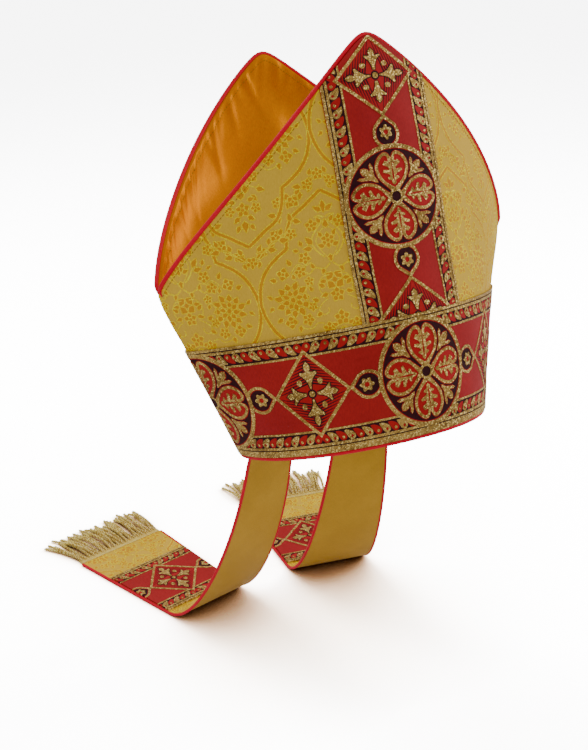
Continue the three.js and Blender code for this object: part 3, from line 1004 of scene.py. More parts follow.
def glitter_group():
    """Small facets of metal thread, each facing its own way, and a painted glint: some cells
    brightened in colour to stand in for facets catching the light.
    """
    tree, given, put = shader_group(
        "glitter",
        [("Cloth", VECTOR, None), ("Cell", VALUE, 0.8), ("Share", VALUE, 0.3), ("Tilt", VALUE, 0.5)],
        [("Painted Glint", VALUE), ("Normal", VECTOR)],
    )
    size = math_node(tree, "DIVIDE", 1.0, given.outputs["Cell"])
    cells = add(
        tree, "ShaderNodeTexVoronoi", {"Vector": given.outputs["Cloth"], "Scale": size},
        voronoi_dimensions="2D",
    )
    parts = add(tree, "ShaderNodeSeparateColor", {0: cells.outputs["Color"]})
    # Cells above the limit take a painted glint: this mask brightens their colour.
    limit = math_node(tree, "SUBTRACT", 1.0, given.outputs["Share"])
    above = math_node(tree, "SUBTRACT", parts.outputs[0], limit)
    painted_glint = math_node(tree, "DIVIDE", above, given.outputs["Share"])
    painted_glint.node.use_clamp = True
    centred = add(
        tree, "ShaderNodeVectorMath",
        {0: cells.outputs["Color"], 1: (0.5, 0.5, 0.5)}, operation="SUBTRACT",
    )
    leaned = add(
        tree, "ShaderNodeVectorMath",
        {0: centred.outputs[0], "Scale": given.outputs["Tilt"]}, operation="SCALE",
    )
    surface = add(tree, "ShaderNodeNewGeometry")
    summed = add(
        tree, "ShaderNodeVectorMath", {0: leaned.outputs[0], 1: surface.outputs["Normal"]},
        operation="ADD",
    )
    unit = add(tree, "ShaderNodeVectorMath", {0: summed.outputs[0]}, operation="NORMALIZE")
    tree.links.new(painted_glint, put.inputs["Painted Glint"])
    tree.links.new(unit.outputs[0], put.inputs["Normal"])
    return tree


def mottle_group():
    """Slow changes of tone over a cloth, as from handling and from the lie of its fibres."""
    tree, given, put = shader_group(
        "mottle", [("Cloth", VECTOR, None), ("Size", VALUE, 30.0)], [("Tone", VALUE)]
    )
    scale = math_node(tree, "DIVIDE", 1.0, given.outputs["Size"])
    noise = add(
        tree, "ShaderNodeTexNoise",
        {"Vector": given.outputs["Cloth"], "Scale": scale, "Detail": 3.0, "Roughness": 0.6},
    )
    tree.links.new(noise.outputs["Fac"], put.inputs["Tone"])
    return tree


THREADS = thread_group()
GLITTER = glitter_group()
MOTTLE = mottle_group()


def use_group(tree, group, inputs):
    made = tree.nodes.new("ShaderNodeGroup")
    made.node_tree = group
    for key, value in inputs.items():
        if isinstance(value, bpy.types.NodeSocket):
            tree.links.new(value, made.inputs[key])
        else:
            made.inputs[key].default_value = value
    return made


def mixed(tree, share, a, b):
    """Two colours mixed by a share."""
    made = add(tree, "ShaderNodeMix", data_type="RGBA", clamp_factor=True)
    for key, value in (("Factor", share), ("A", a), ("B", b)):
        kind = "VALUE" if key == "Factor" else "RGBA"
        socket = next(s for s in made.inputs if s.name == key and s.type == kind)
        if isinstance(value, bpy.types.NodeSocket):
            tree.links.new(value, socket)
        else:
            socket.default_value = value if key == "Factor" else (*value[:3], 1.0)
    return next(s for s in made.outputs if s.type == "RGBA")


# How much painted shade follows each thread's back, lighter on it and darker between threads,
# the middle of all that makes up the tone, and how strongly it changes the colour
THREAD_PAINTED_SHADE = 0.35
MIDDLE_TONE = 1.18
TONE_CONTRAST = 1.6


def woven_material(
    name, deep, light, pitch, slant, roughness, metallic=0.0, specular=0.25, tint=None,
    relief=0.1, glitter=None, painted_glint=None, mottle=40.0, spread=1.0,
):
    """A cloth of threads: two tones of colour over the threads and over the whole, painted shade
    between threads, a low thread relief, and where glitter is (cell, share, tilt) also tilted facets,
    some with a painted glint."""
    material = bpy.data.materials.new(name)
    material.use_nodes = True
    tree = material.node_tree
    shader = tree.nodes["Principled BSDF"]
    cloth = add(tree, "ShaderNodeUVMap", uv_map="cloth").outputs[0]
    threads = use_group(tree, THREADS, {"Cloth": cloth, "Pitch": pitch, "Slant": math.radians(slant)})
    slow = use_group(tree, MOTTLE, {"Cloth": cloth, "Size": mottle})
    both = math_node(tree, "ADD", threads.outputs["Tone"], slow.outputs["Tone"])
    # Painted shade: the thread's height lightens its back and darkens the hollows between threads in
    # the colour.
    part = multiply_add(tree, threads.outputs["Height"], THREAD_PAINTED_SHADE, both)
    centred = math_node(tree, "SUBTRACT", part, MIDDLE_TONE)
    share = multiply_add(tree, centred, TONE_CONTRAST * spread, 0.5)
    colour = mixed(tree, share, deep, light)
    bump = add(
        tree, "ShaderNodeBump",
        {"Height": threads.outputs["Height"], "Strength": 0.5, "Distance": relief * METRE},
    )
    if glitter:
        cell, amount, tilt = glitter
        facets = use_group(
            tree, GLITTER, {"Cloth": cloth, "Cell": cell, "Share": amount, "Tilt": tilt}
        )
        # Painted glint: the cells of the mask are mixed towards a brighter glint colour.
        colour = mixed(tree, facets.outputs["Painted Glint"], colour, painted_glint or light)
        tree.links.new(facets.outputs["Normal"], bump.inputs["Normal"])
    tree.links.new(colour, shader.inputs["Base Color"])
    tree.links.new(bump.outputs["Normal"], shader.inputs["Normal"])
    shader.inputs["Roughness"].default_value = roughness
    shader.inputs["Metallic"].default_value = metallic
    shader.inputs["Specular IOR Level"].default_value = specular
    shader.inputs["Specular Tint"].default_value = (*(tint or light), 1.0)
    return material


def crimson_field():
    return woven_material(
        "crimson_field", (0.30, 0.014, 0.015), (0.41, 0.021, 0.022), 0.7, 0, 0.6, specular=0.15
    )


def maroon_ground():
    return woven_material(
        "maroon_ground", (0.028, 0.007, 0.009), (0.055, 0.013, 0.016), 0.7, 0, 0.7, specular=0.12
    )


def gold_thread():
    return woven_material(
        "gold_thread", (0.17, 0.086, 0.018), (0.58, 0.35, 0.088), 0.9, 45, 0.38, metallic=0.25,
        # The brighter colour below is a painted glint on the bright cells.
        specular=0.2, relief=0.25, glitter=(0.85, 0.32, 0.8), painted_glint=(1.0, 0.74, 0.25), spread=1.7,
    )


def scarlet_ground():
    return woven_material(
        "scarlet_ground", (0.35, 0.013, 0.014), (0.47, 0.020, 0.021), 0.7, 0, 0.6, specular=0.15
    )


def brocade_ground():
    return woven_material(
        "brocade_ground", (0.61, 0.375, 0.036), (0.72, 0.455, 0.052), 0.5, 0, 0.5, specular=0.08,
        relief=0.06,
    )


def brocade_amber():
    return woven_material(
        "brocade_amber", (0.56, 0.235, 0.010), (0.70, 0.32, 0.018), 0.6, 35, 0.45, specular=0.15,
        relief=0.12,
    )


def brocade_glint():
    return woven_material(
        "brocade_glint", (0.66, 0.42, 0.004), (0.98, 0.68, 0.010), 0.6, 35, 0.4, specular=0.12,
        # The brighter colour below is a painted glint on the bright cells.
        relief=0.12, glitter=(0.8, 0.4, 0.7), painted_glint=(1.0, 0.90, 0.03), spread=1.4,
    )


def ochre_lining():
    return woven_material(
        "ochre_lining", (0.52, 0.275, 0.022), (0.63, 0.345, 0.034), 0.4, 0, 0.42, metallic=0.2,
        specular=0.12, relief=0.04,
    )


def orange_satin():
    return woven_material(
        "orange_satin", (0.52, 0.155, 0.0), (0.70, 0.24, 0.001), 0.35, 0, 0.34, metallic=0.2,
        specular=0.0, tint=(1.0, 0.60, 0.02), relief=0.03,
    )


def red_piping():
    return woven_material(
        "red_piping", (0.62, 0.006, 0.022), (0.78, 0.012, 0.038), 0.5, 40, 0.5, specular=0.15,
        tint=(1.0, 0.25, 0.3), relief=0.12,
    )


def gold_bullion():
    return woven_material(
        "gold_bullion", (0.46, 0.25, 0.03), (1.0, 0.84, 0.26), 1.9, 25, 0.38, metallic=0.2,
        # The brighter colour below is a painted glint on the bright cells.
        specular=0.25, relief=0.2, glitter=(0.9, 0.25, 0.6), painted_glint=(1.0, 0.92, 0.50), spread=2.6,
    )


def stitch_thread():
    return woven_material(
        "stitch_thread", (0.30, 0.150, 0.012), (0.44, 0.235, 0.025), 0.3, 60, 0.6, specular=0.15
    )


# Brightness of the floor and of what is behind it, as they light the cloth and as they are
# seen, and the reach and depth of the shade by red, green and blue
FLOOR_LIT = 0.75
FLOOR_SEEN = 13.0
BACKDROP_LIT = 0.55
BACKDROP_SEEN = 7.0
FLOOR_SHADE_REACH = 0.2
FLOOR_SHADE_POWER = (2.2, 2.6, 3.1)


def floor_material():
    """A plain pale floor, shown brighter to the eye than the light it gives back, with painted
    shade that darkens it close under what lies on it."""
    material = bpy.data.materials.new("pale_floor")
    material.use_nodes = True
    tree = material.node_tree
    tree.nodes.remove(tree.nodes["Principled BSDF"])
    path = add(tree, "ShaderNodeLightPath")
    noise = add(tree, "ShaderNodeTexNoise", {"Scale": 3.0})
    tone = multiply_add(tree, noise.outputs["Fac"], 0.02, 0.99)
    # Painted shade: ambient occlusion darkens the floor as seen near what lies on it, blue most, so
    # the shade is warm.
    near = add(tree, "ShaderNodeAmbientOcclusion", {"Distance": FLOOR_SHADE_REACH}, samples=12)
    parts = {}
    for channel, power in enumerate(FLOOR_SHADE_POWER):
        seen = math_node(tree, "POWER", near.outputs["AO"], power)
        seen = math_node(tree, "MULTIPLY", seen, FLOOR_SEEN)
        more = math_node(tree, "SUBTRACT", seen, FLOOR_LIT)
        level = multiply_add(tree, path.outputs["Is Camera Ray"], more, FLOOR_LIT)
        parts[channel] = math_node(tree, "MULTIPLY", level, tone)
    colour = add(tree, "ShaderNodeCombineColor", parts)
    matte = add(tree, "ShaderNodeBsdfDiffuse", {"Color": colour.outputs[0]})
    tree.links.new(matte.outputs[0], tree.nodes["Material Output"].inputs["Surface"])
    return material


BROCADE = [brocade_ground(), brocade_amber(), brocade_glint()]
GALLOON = [crimson_field(), maroon_ground(), gold_thread(), scarlet_ground()]
LINING = ochre_lining()
SATIN = orange_satin()
CORD = red_piping()
BULLION = gold_bullion()
STITCHES = stitch_thread()


# Pieces of the crown


# Spacing of the mesh's points inside the cloth of panels, galloons and lappets, the lining's
# columns and rows with its size as cloth, and a length that reaches past any panel's side
PANEL_GRID = 7
GALLOON_GRID = 5
LAPPET_GRID = 6
LINING_GRID = (64, 30)
LINING_CLOTH = (300, 290)
PAST_PANEL = 200


def seam_arc(side, height):
    """Length along the cloth from the middle of a face to its side seam."""
    return arc_at(side, np.full(np.shape(height), math.pi / 2), height)


def panel_outline(side):
    """The cut of one panel in cloth coordinates."""
    rim = np.sin(np.linspace(-math.pi / 2, math.pi / 2, 60))
    bottom = np.stack([arc_at(side, np.arcsin(rim), np.zeros(60)), np.zeros(60)], 1)
    seam_heights = np.linspace(0, CLEFT_HEIGHT, 24)[1:-1]
    right = np.stack([seam_arc(side, seam_heights), seam_heights], 1)
    turns = np.linspace(math.pi / 2, -math.pi / 2, 121)
    edge = horn_edge(side, np.sin(turns))
    horn = np.stack([arc_at(side, turns, edge), edge], 1)
    left = right[::-1] * [-1, 1]
    return np.concatenate([bottom, right, horn, left])


def panel_lining(side):
    """The plain inner side of a panel, as a grid."""
    columns, rows = LINING_GRID
    u, v = np.meshgrid(np.linspace(0, 1, columns + 1), np.linspace(0, 1, rows + 1))
    u, v = u.ravel(), v.ravel()
    share = np.sin((u - 0.5) * math.pi) * side
    points = crown_point(side, share, horn_edge(side, share) * v, CROWN_WALL)
    points[:, 1] = side * np.maximum(GAP / 2, side * points[:, 1])
    faces = grid_faces(columns, rows, (0, 1, columns + 2, columns + 1))
    flat = np.stack([(u - 0.5) * LINING_CLOTH[0], v * LINING_CLOTH[1]], 1)
    return tilted(points), faces, flat


def brocade_panel(side, name, node):
    outline = panel_outline(side)
    half = GALLOON_WIDTH / 2
    band = (-PAST_PANEL, -9, PAST_PANEL, BAND_LIFT + GALLOON_WIDTH)
    covered = [band, (-half, 0, half, 300)]
    woven = woven_sheet(
        outline, brocade_motifs(outline, covered), PANEL_GRID, crown_cloth(side),
        BROCADE_RELIEF, -CROWN_WALL, GROUND, side == BACK,
    )
    shape, finish = lined(woven, panel_lining(side))
    return mesh_piece(name, shape, BROCADE + [LINING], "gold_brocade", node, finish=finish)


def band_outline(side):
    top_edge = BAND_LIFT + GALLOON_WIDTH + SELVEDGE
    heights = np.linspace(BAND_FOOT, top_edge, 16)
    arcs = seam_arc(side, heights)
    right = np.stack([arcs, heights], 1)
    top_steps = np.linspace(arcs[-1], -arcs[-1], 80)[1:-1]
    top = np.stack([top_steps, np.full(78, heights[-1])], 1)
    bottom_steps = np.linspace(-arcs[0], arcs[0], 80)[1:-1]
    bottom = np.stack([bottom_steps, np.full(78, heights[0])], 1)
    return np.concatenate([right, top, right[::-1] * [-1, 1], bottom])


def strip_outline(side):
    """The galloon up one face, cut to the point of its horn."""
    foot = BAND_LIFT + GALLOON_WIDTH + SELVEDGE + GAP / 2
    half = GALLOON_WIDTH / 2 + SELVEDGE
    x = np.linspace(half, -half, 41)
    top = np.full(41, float(CLEFT_HEIGHT))
    for _ in range(6):
        top = horn_edge(side, x / half_width(top)) - STRIP_EDGE_MARGIN
    share = x / half_width(top)
    head = np.stack([arc_at(side, np.arcsin(share), top), top], 1)
    return np.concatenate([head, [[-half, foot], [half, foot]]])


# How much the band's pattern is eased out towards its upper edge, per millimetre
BAND_EASE = 0.00093
BAND_MIDDLE = BAND_LIFT + GALLOON_WIDTH / 2
BAND_FOOT = 0.4
STRIP_MEDALLION = 173.5


def galloon_piece(name, outline, motifs, place, seat, flip, *replaced):
    """A galloon cut to an outline, its upper skin lifted off its seat by its thickness."""
    levels = [seat + GALLOON_THICKNESS + relief for relief in GALLOON_RELIEF]
    shape, finish = woven_sheet(outline, motifs, GALLOON_GRID, place, levels, seat, FIELD, flip)
    return mesh_piece(name, shape, GALLOON, "crimson_galloon", *replaced, finish=finish)


def band_piece(side, name, *replaced):
    reach = PAST_PANEL - 10
    shapes = galloon_motifs(-reach, reach)
    edge = BORDER_GROUND[1] - 0.1
    foot = BAND_MIDDLE - BAND_FOOT + 0.5
    strip = [(-reach, -foot), (reach, -foot), (reach, -edge), (-reach, -edge)]
    shapes.append((np.array(strip), GOLD))
    eased = [
        (np.stack([p[:, 0] * (1 + BAND_EASE * p[:, 1]), p[:, 1] + BAND_MIDDLE], 1), finish)
        for p, finish in shapes
    ]
    return galloon_piece(
        name, band_outline(side), eased, crown_cloth(side), GAP, side == BACK, *replaced
    )


def strip_piece(side, name, node):
    shapes = galloon_motifs(-100, 120)
    upright = [
        (np.stack([-p[:, 1], p[:, 0] + STRIP_MEDALLION], 1), finish) for p, finish in shapes
    ]
    return galloon_piece(
        name, strip_outline(side), upright, crown_cloth(side), GAP, side == BACK, node
    )


PUCKER_SPACING = (7, 13)
PUCKER_DEPTH = (1.1, 2.5)
PUCKER_REACH = (10, 28)
PUCKER_WIDTH = (1.8, 3.4)
PUCKER_SLANT = 0.35
PUCKER_SPAN = 195.0
SATIN_SEED = 31
SATIN_HELD = 3.0
SATIN_WAVE_COUNT = 5
SATIN_WAVE_DEPTH = 1.3
SATIN_WAVE_OVERLAP = 2.2
SATIN_WAVE_START = 22.0
SATIN_GRID = (190, 240)
SATIN_CLOTH_HALF = (180, 160)
SATIN_LIP_START = 0.965
SATIN_LIP_INSET = (2.8, 2.1)
SATIN_LIP_RISE = 0.8
SATIN_STITCH_DEPTH = 4.6
PANEL_STITCH_DEPTH = 3.4


def pucker_table(draw):
    """Where each pucker starts along the seam, its depth, reach, width and slant."""
    rows, place = [], -PUCKER_SPAN
    while place < PUCKER_SPAN:
        rows.append((
            place, draw.uniform(*PUCKER_DEPTH), draw.uniform(*PUCKER_REACH),
            draw.uniform(*PUCKER_WIDTH), draw.uniform(-PUCKER_SLANT, PUCKER_SLANT),
        ))
        place += draw.uniform(*PUCKER_SPACING)
    return rows


def satin_swell(side, along, depth):
    """How far the satin stands off its even shape: puckers from the seam, then soft waves."""
    draw = random.Random(SATIN_SEED + side)
    swell = np.zeros(len(along))
    for place, height, reach, width, slant in pucker_table(draw):
        across = (along - place - slant * depth) / width
        swell += height * np.exp(-across * across) * np.exp(-((depth / reach) ** 1.5))
    free = 1 - np.exp(-((depth / SATIN_WAVE_START) ** 2))
    for _ in range(SATIN_WAVE_COUNT):
        a, b, phase = draw.uniform(-0.09, 0.09), draw.uniform(0.03, 0.08), draw.uniform(0, 6.3)
        wave = np.sin(a * along + b * depth + phase)
        swell += SATIN_WAVE_DEPTH / SATIN_WAVE_OVERLAP * wave * free
    return swell * (1 - np.exp(-((depth / SATIN_HELD) ** 2)))


def satin_foot(share, skin):
    """Height of the bottom of the valley."""
    foot = CLEFT_HEIGHT - VALLEY_START - VALLEY_SINK * (1 - share**2)
    return foot - skin * GUSSET_THICKNESS


def satin_point(side, share, height, skin, lip=0.0):
    """A point of the satin, its seen skin being 0; a lip goes over the edge of the panel."""
    top = horn_edge(side, share)
    bottom = satin_foot(share, skin)
    rise = np.clip((height - bottom) / (top - bottom), 0, 1)
    along = arc_at(side, np.arcsin(share), height)
    inset = CROWN_WALL + GAP + (1 - skin) * GUSSET_THICKNESS - SATIN_LIP_INSET[skin] * lip
    inset = inset + satin_swell(side, along, np.maximum(0, top - height))
    points = crown_point(side, share, height + SATIN_LIP_RISE * lip, inset)
    points[:, 1] *= 1 - (1 - rise) ** VALLEY_FULLNESS
    return points


def gusset_piece():
    def place(u, v, skin):
        skin = int(skin)
        share = np.sin((u - 0.5) * math.pi) * GUSSET_END_SHARE
        across = 2 * v - 1
        rise = np.minimum(np.abs(across) / SATIN_LIP_START, 1)
        lip = np.clip((np.abs(across) - SATIN_LIP_START) / (1 - SATIN_LIP_START), 0, 1)
        result = np.empty((len(u), 3))
        for side, chosen in ((FRONT, across < 0), (BACK, across >= 0)):
            top = horn_edge(side, share[chosen])
            bottom = satin_foot(share[chosen], skin)
            height = bottom + (top - bottom) * rise[chosen]
            result[chosen] = satin_point(side, share[chosen], height, skin, lip[chosen])
        return tilted(result)

    rows, columns = SATIN_GRID
    wide, long = SATIN_CLOTH_HALF
    points, faces = two_skins(rows, columns, place)
    u, v = np.meshgrid(np.linspace(-wide, wide, columns + 1), np.linspace(-long, long, rows + 1))
    cloth = np.tile(np.stack([u.ravel(), v.ravel()], 1), (2, 1))
    shape = (points, faces, cloth)
    return mesh_piece("horn_gusset_satin", shape, [SATIN], "orange_satin", "horn_gusset")


STITCH_PITCH = 3.0
STITCH_LENGTH = 2.1
STITCH_RADIUS = 0.32
STITCH_LIFT = 0.1
STITCH_CLEARANCE = 0.5
SATIN_STITCH_REACH = 0.97


def stitch_row(path):
    """Short stitches one after another along a path."""
    run = np.concatenate([[0], np.cumsum(np.linalg.norm(np.diff(path, axis=0), axis=1))])
    parts = []
    for start in np.arange(1, run[-1] - STITCH_PITCH, STITCH_PITCH):
        spots = start + np.linspace(0, STITCH_LENGTH, 4)
        points = np.stack([np.interp(spots, run, path[:, k]) for k in range(3)], 1)
        radius = STITCH_RADIUS * np.array([0.4, 1, 1, 0.4])
        parts.append(cord_mesh(points, radius, sides=6))
    return parts


def edge_line(side, depth):
    """A line at a depth inside the edge of a horn, in cloth coordinates."""
    turns = np.radians(np.linspace(-88, 88, 241))
    edge = horn_edge(side, np.sin(turns))
    line = np.stack([arc_at(side, turns, edge), edge], 1)
    along = np.gradient(line, axis=0)
    along /= np.linalg.norm(along, axis=1)[:, None]
    return line + np.stack([along[:, 1], -along[:, 0]], 1) * depth


def panel_stitches(side, name):
    """The row of stitches through a panel inside its piping, beside the galloon."""
    line = edge_line(side, PANEL_STITCH_DEPTH)
    clear = GALLOON_WIDTH / 2 + SELVEDGE + STITCH_CLEARANCE
    parts = []
    for half in (line[line[:, 0] < -clear], line[line[:, 0] > clear]):
        parts += stitch_row(crown_cloth(side)(half, np.full(len(half), STITCH_LIFT)))
    return mesh_piece(name, joined(parts), [STITCHES], "gold_brocade")


def satin_stitches(side, name):
    """The row of stitches that holds the satin inside the edge of a horn."""
    line = edge_line(side, SATIN_STITCH_DEPTH)
    share = share_at(side, line[:, 0], line[:, 1])
    kept = np.abs(share) < SATIN_STITCH_REACH
    path = tilted(satin_point(side, share[kept], line[kept, 1], 0))
    return mesh_piece(name, joined(stitch_row(path)), [STITCHES], "orange_satin")


def horn_piping(side, name, node):
    share = np.sin(np.linspace(-math.pi / 2, math.pi / 2, 161))
    step = 0.001
    inner = np.clip(share, -1 + 2 * step, 1 - 2 * step)

    def edge(s):
        return crown_point(side, s, horn_edge(side, s), CROWN_WALL / 2)

    along = edge(inner + step) - edge(inner - step)
    out = np.stack([-along[:, 2], np.zeros(len(share)), along[:, 0]], 1)
    out /= np.linalg.norm(out, axis=1)[:, None]
    skin = crown_point(side, inner, horn_edge(side, inner), 0) - edge(inner)
    seat = HORN_PIPING_SEAT + np.abs((skin * out).sum(1))
    fade = np.clip((np.abs(share) - HORN_PIPING_FADE) / (1 - HORN_PIPING_FADE), 0, 1)
    fade = fade * fade
    seat = seat * (1 - fade) - HORN_PIPING_SINK * fade
    path = edge(share) + out * seat[:, None]
    path[:, 1] = side * np.maximum(HORN_PIPING_RADIUS + GAP / 2, side * path[:, 1])
    radius = HORN_PIPING_RADIUS * (1 - HORN_PIPING_THINNING * fade)
    cord = cord_mesh(tilted(path), radius, sides=14)
    return mesh_piece(name, cord, [CORD], "red_piping", node)


def rim_piping():
    loops = []
    for side in (FRONT, BACK):
        share = np.sin(np.linspace(-math.pi / 2, math.pi / 2, 121)[:-1]) * -side
        loops.append(crown_point(side, share, -RIM_PIPING_DROP, RIM_PIPING_INSET))
    path = tilted(np.concatenate(loops))
    cord = cord_mesh(path, RIM_PIPING_RADIUS, sides=14, closed=True)
    return mesh_piece("rim_piping_cord", cord, [CORD], "red_piping", "rim_piping")


# Lappets


def lappet_outline():
    along = np.linspace(0, LAPPET_LENGTH, 60)
    half = lappet_half_width(along)
    left = np.stack([-half, LAPPET_LENGTH - along], 1)
    right = np.stack([half, LAPPET_LENGTH - along], 1)[::-1]
    return np.concatenate([left, right])


def lappet_back(place):
    """The plain inner side of a lappet, as a grid."""
    columns, rows = 12, 90
    u, v = np.meshgrid(np.linspace(-1, 1, columns + 1), np.linspace(0, 1, rows + 1))
    up = v.ravel() * LAPPET_LENGTH
    flat = np.stack([u.ravel() * lappet_half_width(LAPPET_LENGTH - up), up], 1)
    points = place(flat, np.full(len(flat), -LAPPET_THICKNESS / 2))
    return points, grid_faces(columns, rows, (0, columns + 1, columns + 2, 1)), flat


def brocade_lappet(hand, label):
    place = lappet_cloth(hand)
    half = LAPPET_THICKNESS / 2
    outline = lappet_outline()
    covered = [(-60, LAPPET_HEM, 60, LAPPET_HEM + GALLOON_WIDTH)]
    levels = [half + relief for relief in BROCADE_RELIEF]
    woven = woven_sheet(
        outline, brocade_motifs(outline, covered), LAPPET_GRID, place, levels, -half, GROUND,
        hand < 0,
    )
    shape, finish = lined(woven, lappet_back(place), hand < 0)
    name, node = f"lappet_{label}_cloth", f"lappet_{label}"
    return mesh_piece(name, shape, BROCADE + [LINING], "gold_brocade", node, finish=finish)


def lappet_galloon(hand, label):
    edge = np.linspace(LAPPET_HEM - SELVEDGE, LAPPET_HEM + GALLOON_WIDTH + SELVEDGE, 12)
    across = lappet_half_width(LAPPET_LENGTH - edge)
    cut = np.concatenate([np.stack([across, edge], 1), np.stack([-across, edge], 1)[::-1]])
    middle = LAPPET_HEM + GALLOON_WIDTH / 2
    motifs = moved(galloon_motifs(30, 140), -HALF_PERIOD, middle)
    seat = LAPPET_THICKNESS / 2 + GAP
    name, node = f"lappet_{label}_galloon", f"lappet_galloon_{label}"
    return galloon_piece(name, cut, motifs, lappet_cloth(hand), seat, hand < 0, node)


def lappet_piping(hand, label, edge_side, where):
    along = np.linspace(LAPPET_SEWN, LAPPET_LENGTH, 120)
    reach = lappet_half_width(along)
    rim = lappet_point(along, edge_side * reach)
    out = rim - lappet_point(along, edge_side * reach * 0.9)
    out /= np.linalg.norm(out, axis=1)[:, None]
    path = rim + out * (PIPING_RADIUS - LAPPET_PIPING_SINK)
    path[:, 0] *= hand
    name, node = f"lappet_{label}_piping_{where}", f"lappet_piping_{label}_{where}"
    return mesh_piece(name, cord_mesh(path, PIPING_RADIUS), [CORD], "red_piping", node)


def lappet_pieces(hand, label):
    """One lappet's cloth, and the pieces sewn on it."""
    cloth_piece = brocade_lappet(hand, label)
    pieces = [lappet_galloon(hand, label)]
    for edge_side, where in ((-1, "outer"), (1, "inner")):
        pieces.append(lappet_piping(hand, label, edge_side, where))
    pieces.append(fringe_piece(hand, label))
    return cloth_piece, pieces


# Each strand is a pair of plies twisted on each other, tucked under the heading. Length,
# flare, bend and arch vary from strand to strand, and every other one lies higher at first
STRAND_COUNT = 38
STRAND_PLY = 0.85
STRAND_TWIST_PITCH = 4.2
STRAND_TWIST_RADIUS = 0.9
STRAND_TUCK = 3
STRAND_STRETCH = 1.2
STRAND_UNEVEN = 0.16
STRAND_FLARE = 9
STRAND_STRAY = 6
STRAND_BEND = 3
STRAND_ARCH = 5
STRAND_STACK = 1.4
BRAID_PLY = 0.85
BRAID_TURN = 1.6
BRAID_SWING = 0.45
BRAID_DROP = 0.7
FRINGE_SEEDS = {1: 7, -1: 8}


def fringe_point(across, out, height):
    """Points by their place across the hem, out from it and above the table."""
    end = lappet_point(np.array(LAPPET_LENGTH), np.array(0.0)) + LAPPET_OUT * GAP
    end[2] = -TABLE_DEPTH
    across, out, height = (np.asarray(v, float)[..., None] for v in (across, out, height))
    return end + LAPPET_ACROSS * across + LAPPET_OUT * out + np.array([0.0, 0.0, 1.0]) * height


def fringe_strands(hand):
    """Twisted strands that fan out and settle on the table."""
    draw = random.Random(FRINGE_SEEDS[hand])
    half = LAPPET_BOTTOM_WIDTH / 2
    low = STRAND_PLY * 2 + 0.1
    u = np.linspace(0, 1, 40)
    parts = []
    for k in range(STRAND_COUNT):
        across = (k + 0.5) / STRAND_COUNT * 2 * half - half
        length = STRAND_LENGTH * (STRAND_STRETCH + STRAND_UNEVEN * draw.uniform(-1, 1))
        flare = across / half * STRAND_FLARE + draw.uniform(-STRAND_STRAY, STRAND_STRAY)
        bend = draw.uniform(-STRAND_BEND, STRAND_BEND)
        arch = draw.uniform(0, STRAND_ARCH)
        start = low if k % 2 else low + STRAND_STACK
        side = across + flare * u**1.4 + bend * np.sin(u * math.pi)
        out = HEADING_DEPTH - STRAND_TUCK + length * u
        rise = start + (low - start) * u + arch * np.sin(u * math.pi)
        centre = fringe_point(side, out, rise)
        for phase in (0, math.pi):
            turn = out * (2 * math.pi / STRAND_TWIST_PITCH) + phase
            swing = np.cos(turn)[:, None] * LAPPET_ACROSS
            swing[:, 2] += np.sin(turn)
            path = centre + swing * STRAND_PLY * STRAND_TWIST_RADIUS
            path[:, 0] *= hand
            parts.append(cord_mesh(path, STRAND_PLY, sides=5))
    return parts


def fringe_braid(hand):
    """Rows of twisted cord over the heading, every other one twisted the other way."""
    half = LAPPET_BOTTOM_WIDTH / 2
    swing = BRAID_SWING * BRAID_PLY
    across = np.linspace(-half, half, 150)
    parts = []
    for k, row in enumerate(np.arange(0.9, HEADING_DEPTH, BRAID_PLY * 1.9)):
        for phase in (0, math.pi):
            turn = across * (BRAID_TURN if k % 2 else -BRAID_TURN) + phase
            out = row + swing * np.cos(turn)
            rise = HEADING_THICKNESS - BRAID_DROP + swing * np.sin(turn)
            path = fringe_point(across, out, rise)
            path[:, 0] *= hand
            parts.append(cord_mesh(path, BRAID_PLY * 0.62, sides=6))
    return parts


def fringe_heading(hand):
    """The core of the heading, under its braid."""
    half = LAPPET_BOTTOM_WIDTH / 2
    base = [(-half, 0), (half, 0), (half, HEADING_DEPTH), (-half, HEADING_DEPTH)]
    corners = np.array([(x, y, z) for z in (0, HEADING_THICKNESS) for x, y in base])
    points = fringe_point(*corners.T)
    points[:, 0] *= hand
    sides = [(0, 3, 2, 1), (4, 5, 6, 7), (0, 1, 5, 4), (1, 2, 6, 5), (2, 3, 7, 6), (3, 0, 4, 7)]
    return points, sides, np.zeros((8, 2))


def fringe_piece(hand, label):
    """Bullion fringe: a braided heading with twisted strands lying on the table."""
    parts = fringe_strands(hand) + fringe_braid(hand) + [fringe_heading(hand)]
    name, node = f"lappet_{label}_fringe", f"lappet_fringe_{label}"
    return mesh_piece(name, joined(parts), [BULLION], "gold_bullion", node)


# Floor, light and camera


# Half the floor's side, what the lights point at, and the lights by name, place, width in
# metres and power in watts
FLOOR_SIZE = 12
LIGHT_TARGET = (0, 0, 0.05)
SOFTBOXES = (
    ("softbox_right", (1.65, -0.25, 0.8), 0.8, 20),
    ("softbox_left", (-1.3, -1.2, 1.3), 1.2, 9),
    ("softbox_back", (-0.3, 1.3, 1.4), 1.0, 15),
)


def studio_floor():
    level = -TABLE_DEPTH * METRE
    half = FLOOR_SIZE
    corners = [(-half, -half, level), (half, -half, level), (half, half, level), (-half, half, level)]
    mesh = bpy.data.meshes.new("floor")
    mesh.from_pydata(corners, [], [(0, 1, 2, 3)])
    mesh.materials.append(floor_material())
    floor = bpy.data.objects.new("floor", mesh)
    bpy.context.scene.collection.objects.link(floor)


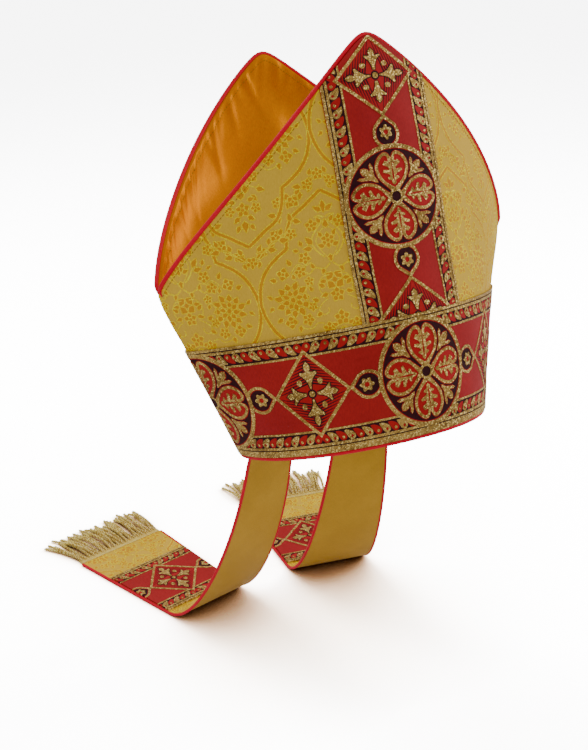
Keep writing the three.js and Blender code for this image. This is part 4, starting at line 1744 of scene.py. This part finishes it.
def studio_backdrop():
    """An even white all round, brighter to the eye than the light that it gives."""
    world = bpy.data.worlds.new("studio")
    world.use_nodes = True
    tree = world.node_tree
    backdrop = tree.nodes["Background"]
    backdrop.inputs["Color"].default_value = (1, 1, 1, 1)
    path = add(tree, "ShaderNodeLightPath")
    more = math_node(tree, "MULTIPLY", path.outputs["Is Camera Ray"], BACKDROP_SEEN)
    strength = math_node(tree, "ADD", more, BACKDROP_LIT)
    tree.links.new(strength, backdrop.inputs["Strength"])
    bpy.context.scene.world = world


def softbox(name, place, size, power):
    light = bpy.data.lights.new(name, "AREA")
    light.shape = "DISK"
    light.size = size
    light.energy = power
    lamp = bpy.data.objects.new(name, light)
    lamp.location = place
    aim = Vector(LIGHT_TARGET) - Vector(place)
    lamp.rotation_mode = "QUATERNION"
    lamp.rotation_quaternion = aim.to_track_quat("-Z", "Y")
    bpy.context.scene.collection.objects.link(lamp)


CAMERA_AZIMUTH = math.radians(-29.08494)
CAMERA_ELEVATION = math.radians(22.73433)
CAMERA_ROLL = math.radians(-1.74763)
CAMERA_DISTANCE = 1044.39
CAMERA_TARGET_HEIGHT = 96
CAMERA_SLIDE = (-49.399, -60.2)
CAMERA_LENS = 64.605


def photo_camera():
    az, el = CAMERA_AZIMUTH, CAMERA_ELEVATION
    back = Vector((math.sin(az) * math.cos(el), -math.cos(az) * math.cos(el), math.sin(el)))
    right = Vector((0, 0, 1)).cross(back).normalized()
    up = back.cross(right)
    place = Vector((0, 0, CAMERA_TARGET_HEIGHT)) + back * CAMERA_DISTANCE
    place += right * CAMERA_SLIDE[0] + up * CAMERA_SLIDE[1]
    turned_right = right * math.cos(CAMERA_ROLL) + up * math.sin(CAMERA_ROLL)
    turned_up = up * math.cos(CAMERA_ROLL) - right * math.sin(CAMERA_ROLL)
    data = bpy.data.cameras.new("photo_camera")
    data.lens = CAMERA_LENS
    data.sensor_width = 36
    data.clip_end = 50
    camera = bpy.data.objects.new("photo_camera", data)
    axes = Matrix((turned_right, turned_up, back)).transposed()
    camera.matrix_world = Matrix.Translation(place * METRE) @ axes.to_4x4()
    bpy.context.scene.collection.objects.link(camera)
    bpy.context.scene.camera = camera


photo_camera()
studio_floor()
studio_backdrop()
for row in SOFTBOXES:
    softbox(*row)
brocade_panel(FRONT, "front_panel_brocade", "front_panel")
brocade_panel(BACK, "back_panel_brocade", "back_panel")
gusset = gusset_piece()
panel_stitches(FRONT, "front_panel_stitches")
panel_stitches(BACK, "back_panel_stitches")
satin_stitches(FRONT, "front_satin_stitches")
satin_stitches(BACK, "back_satin_stitches")
band_piece(FRONT, "base_band_front", "base_band")
band_piece(BACK, "base_band_back")
strip_piece(FRONT, "front_orphrey_strip", "front_orphrey")
strip_piece(BACK, "back_orphrey_strip", "back_orphrey")
horn_piping(FRONT, "front_piping_cord", "front_piping")
horn_piping(BACK, "back_piping_cord", "back_piping")
rim_piping()
for hand, label in ((1, "right"), (-1, "left")):
    cloth_piece, on_it = lappet_pieces(hand, label)
    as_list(on_it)
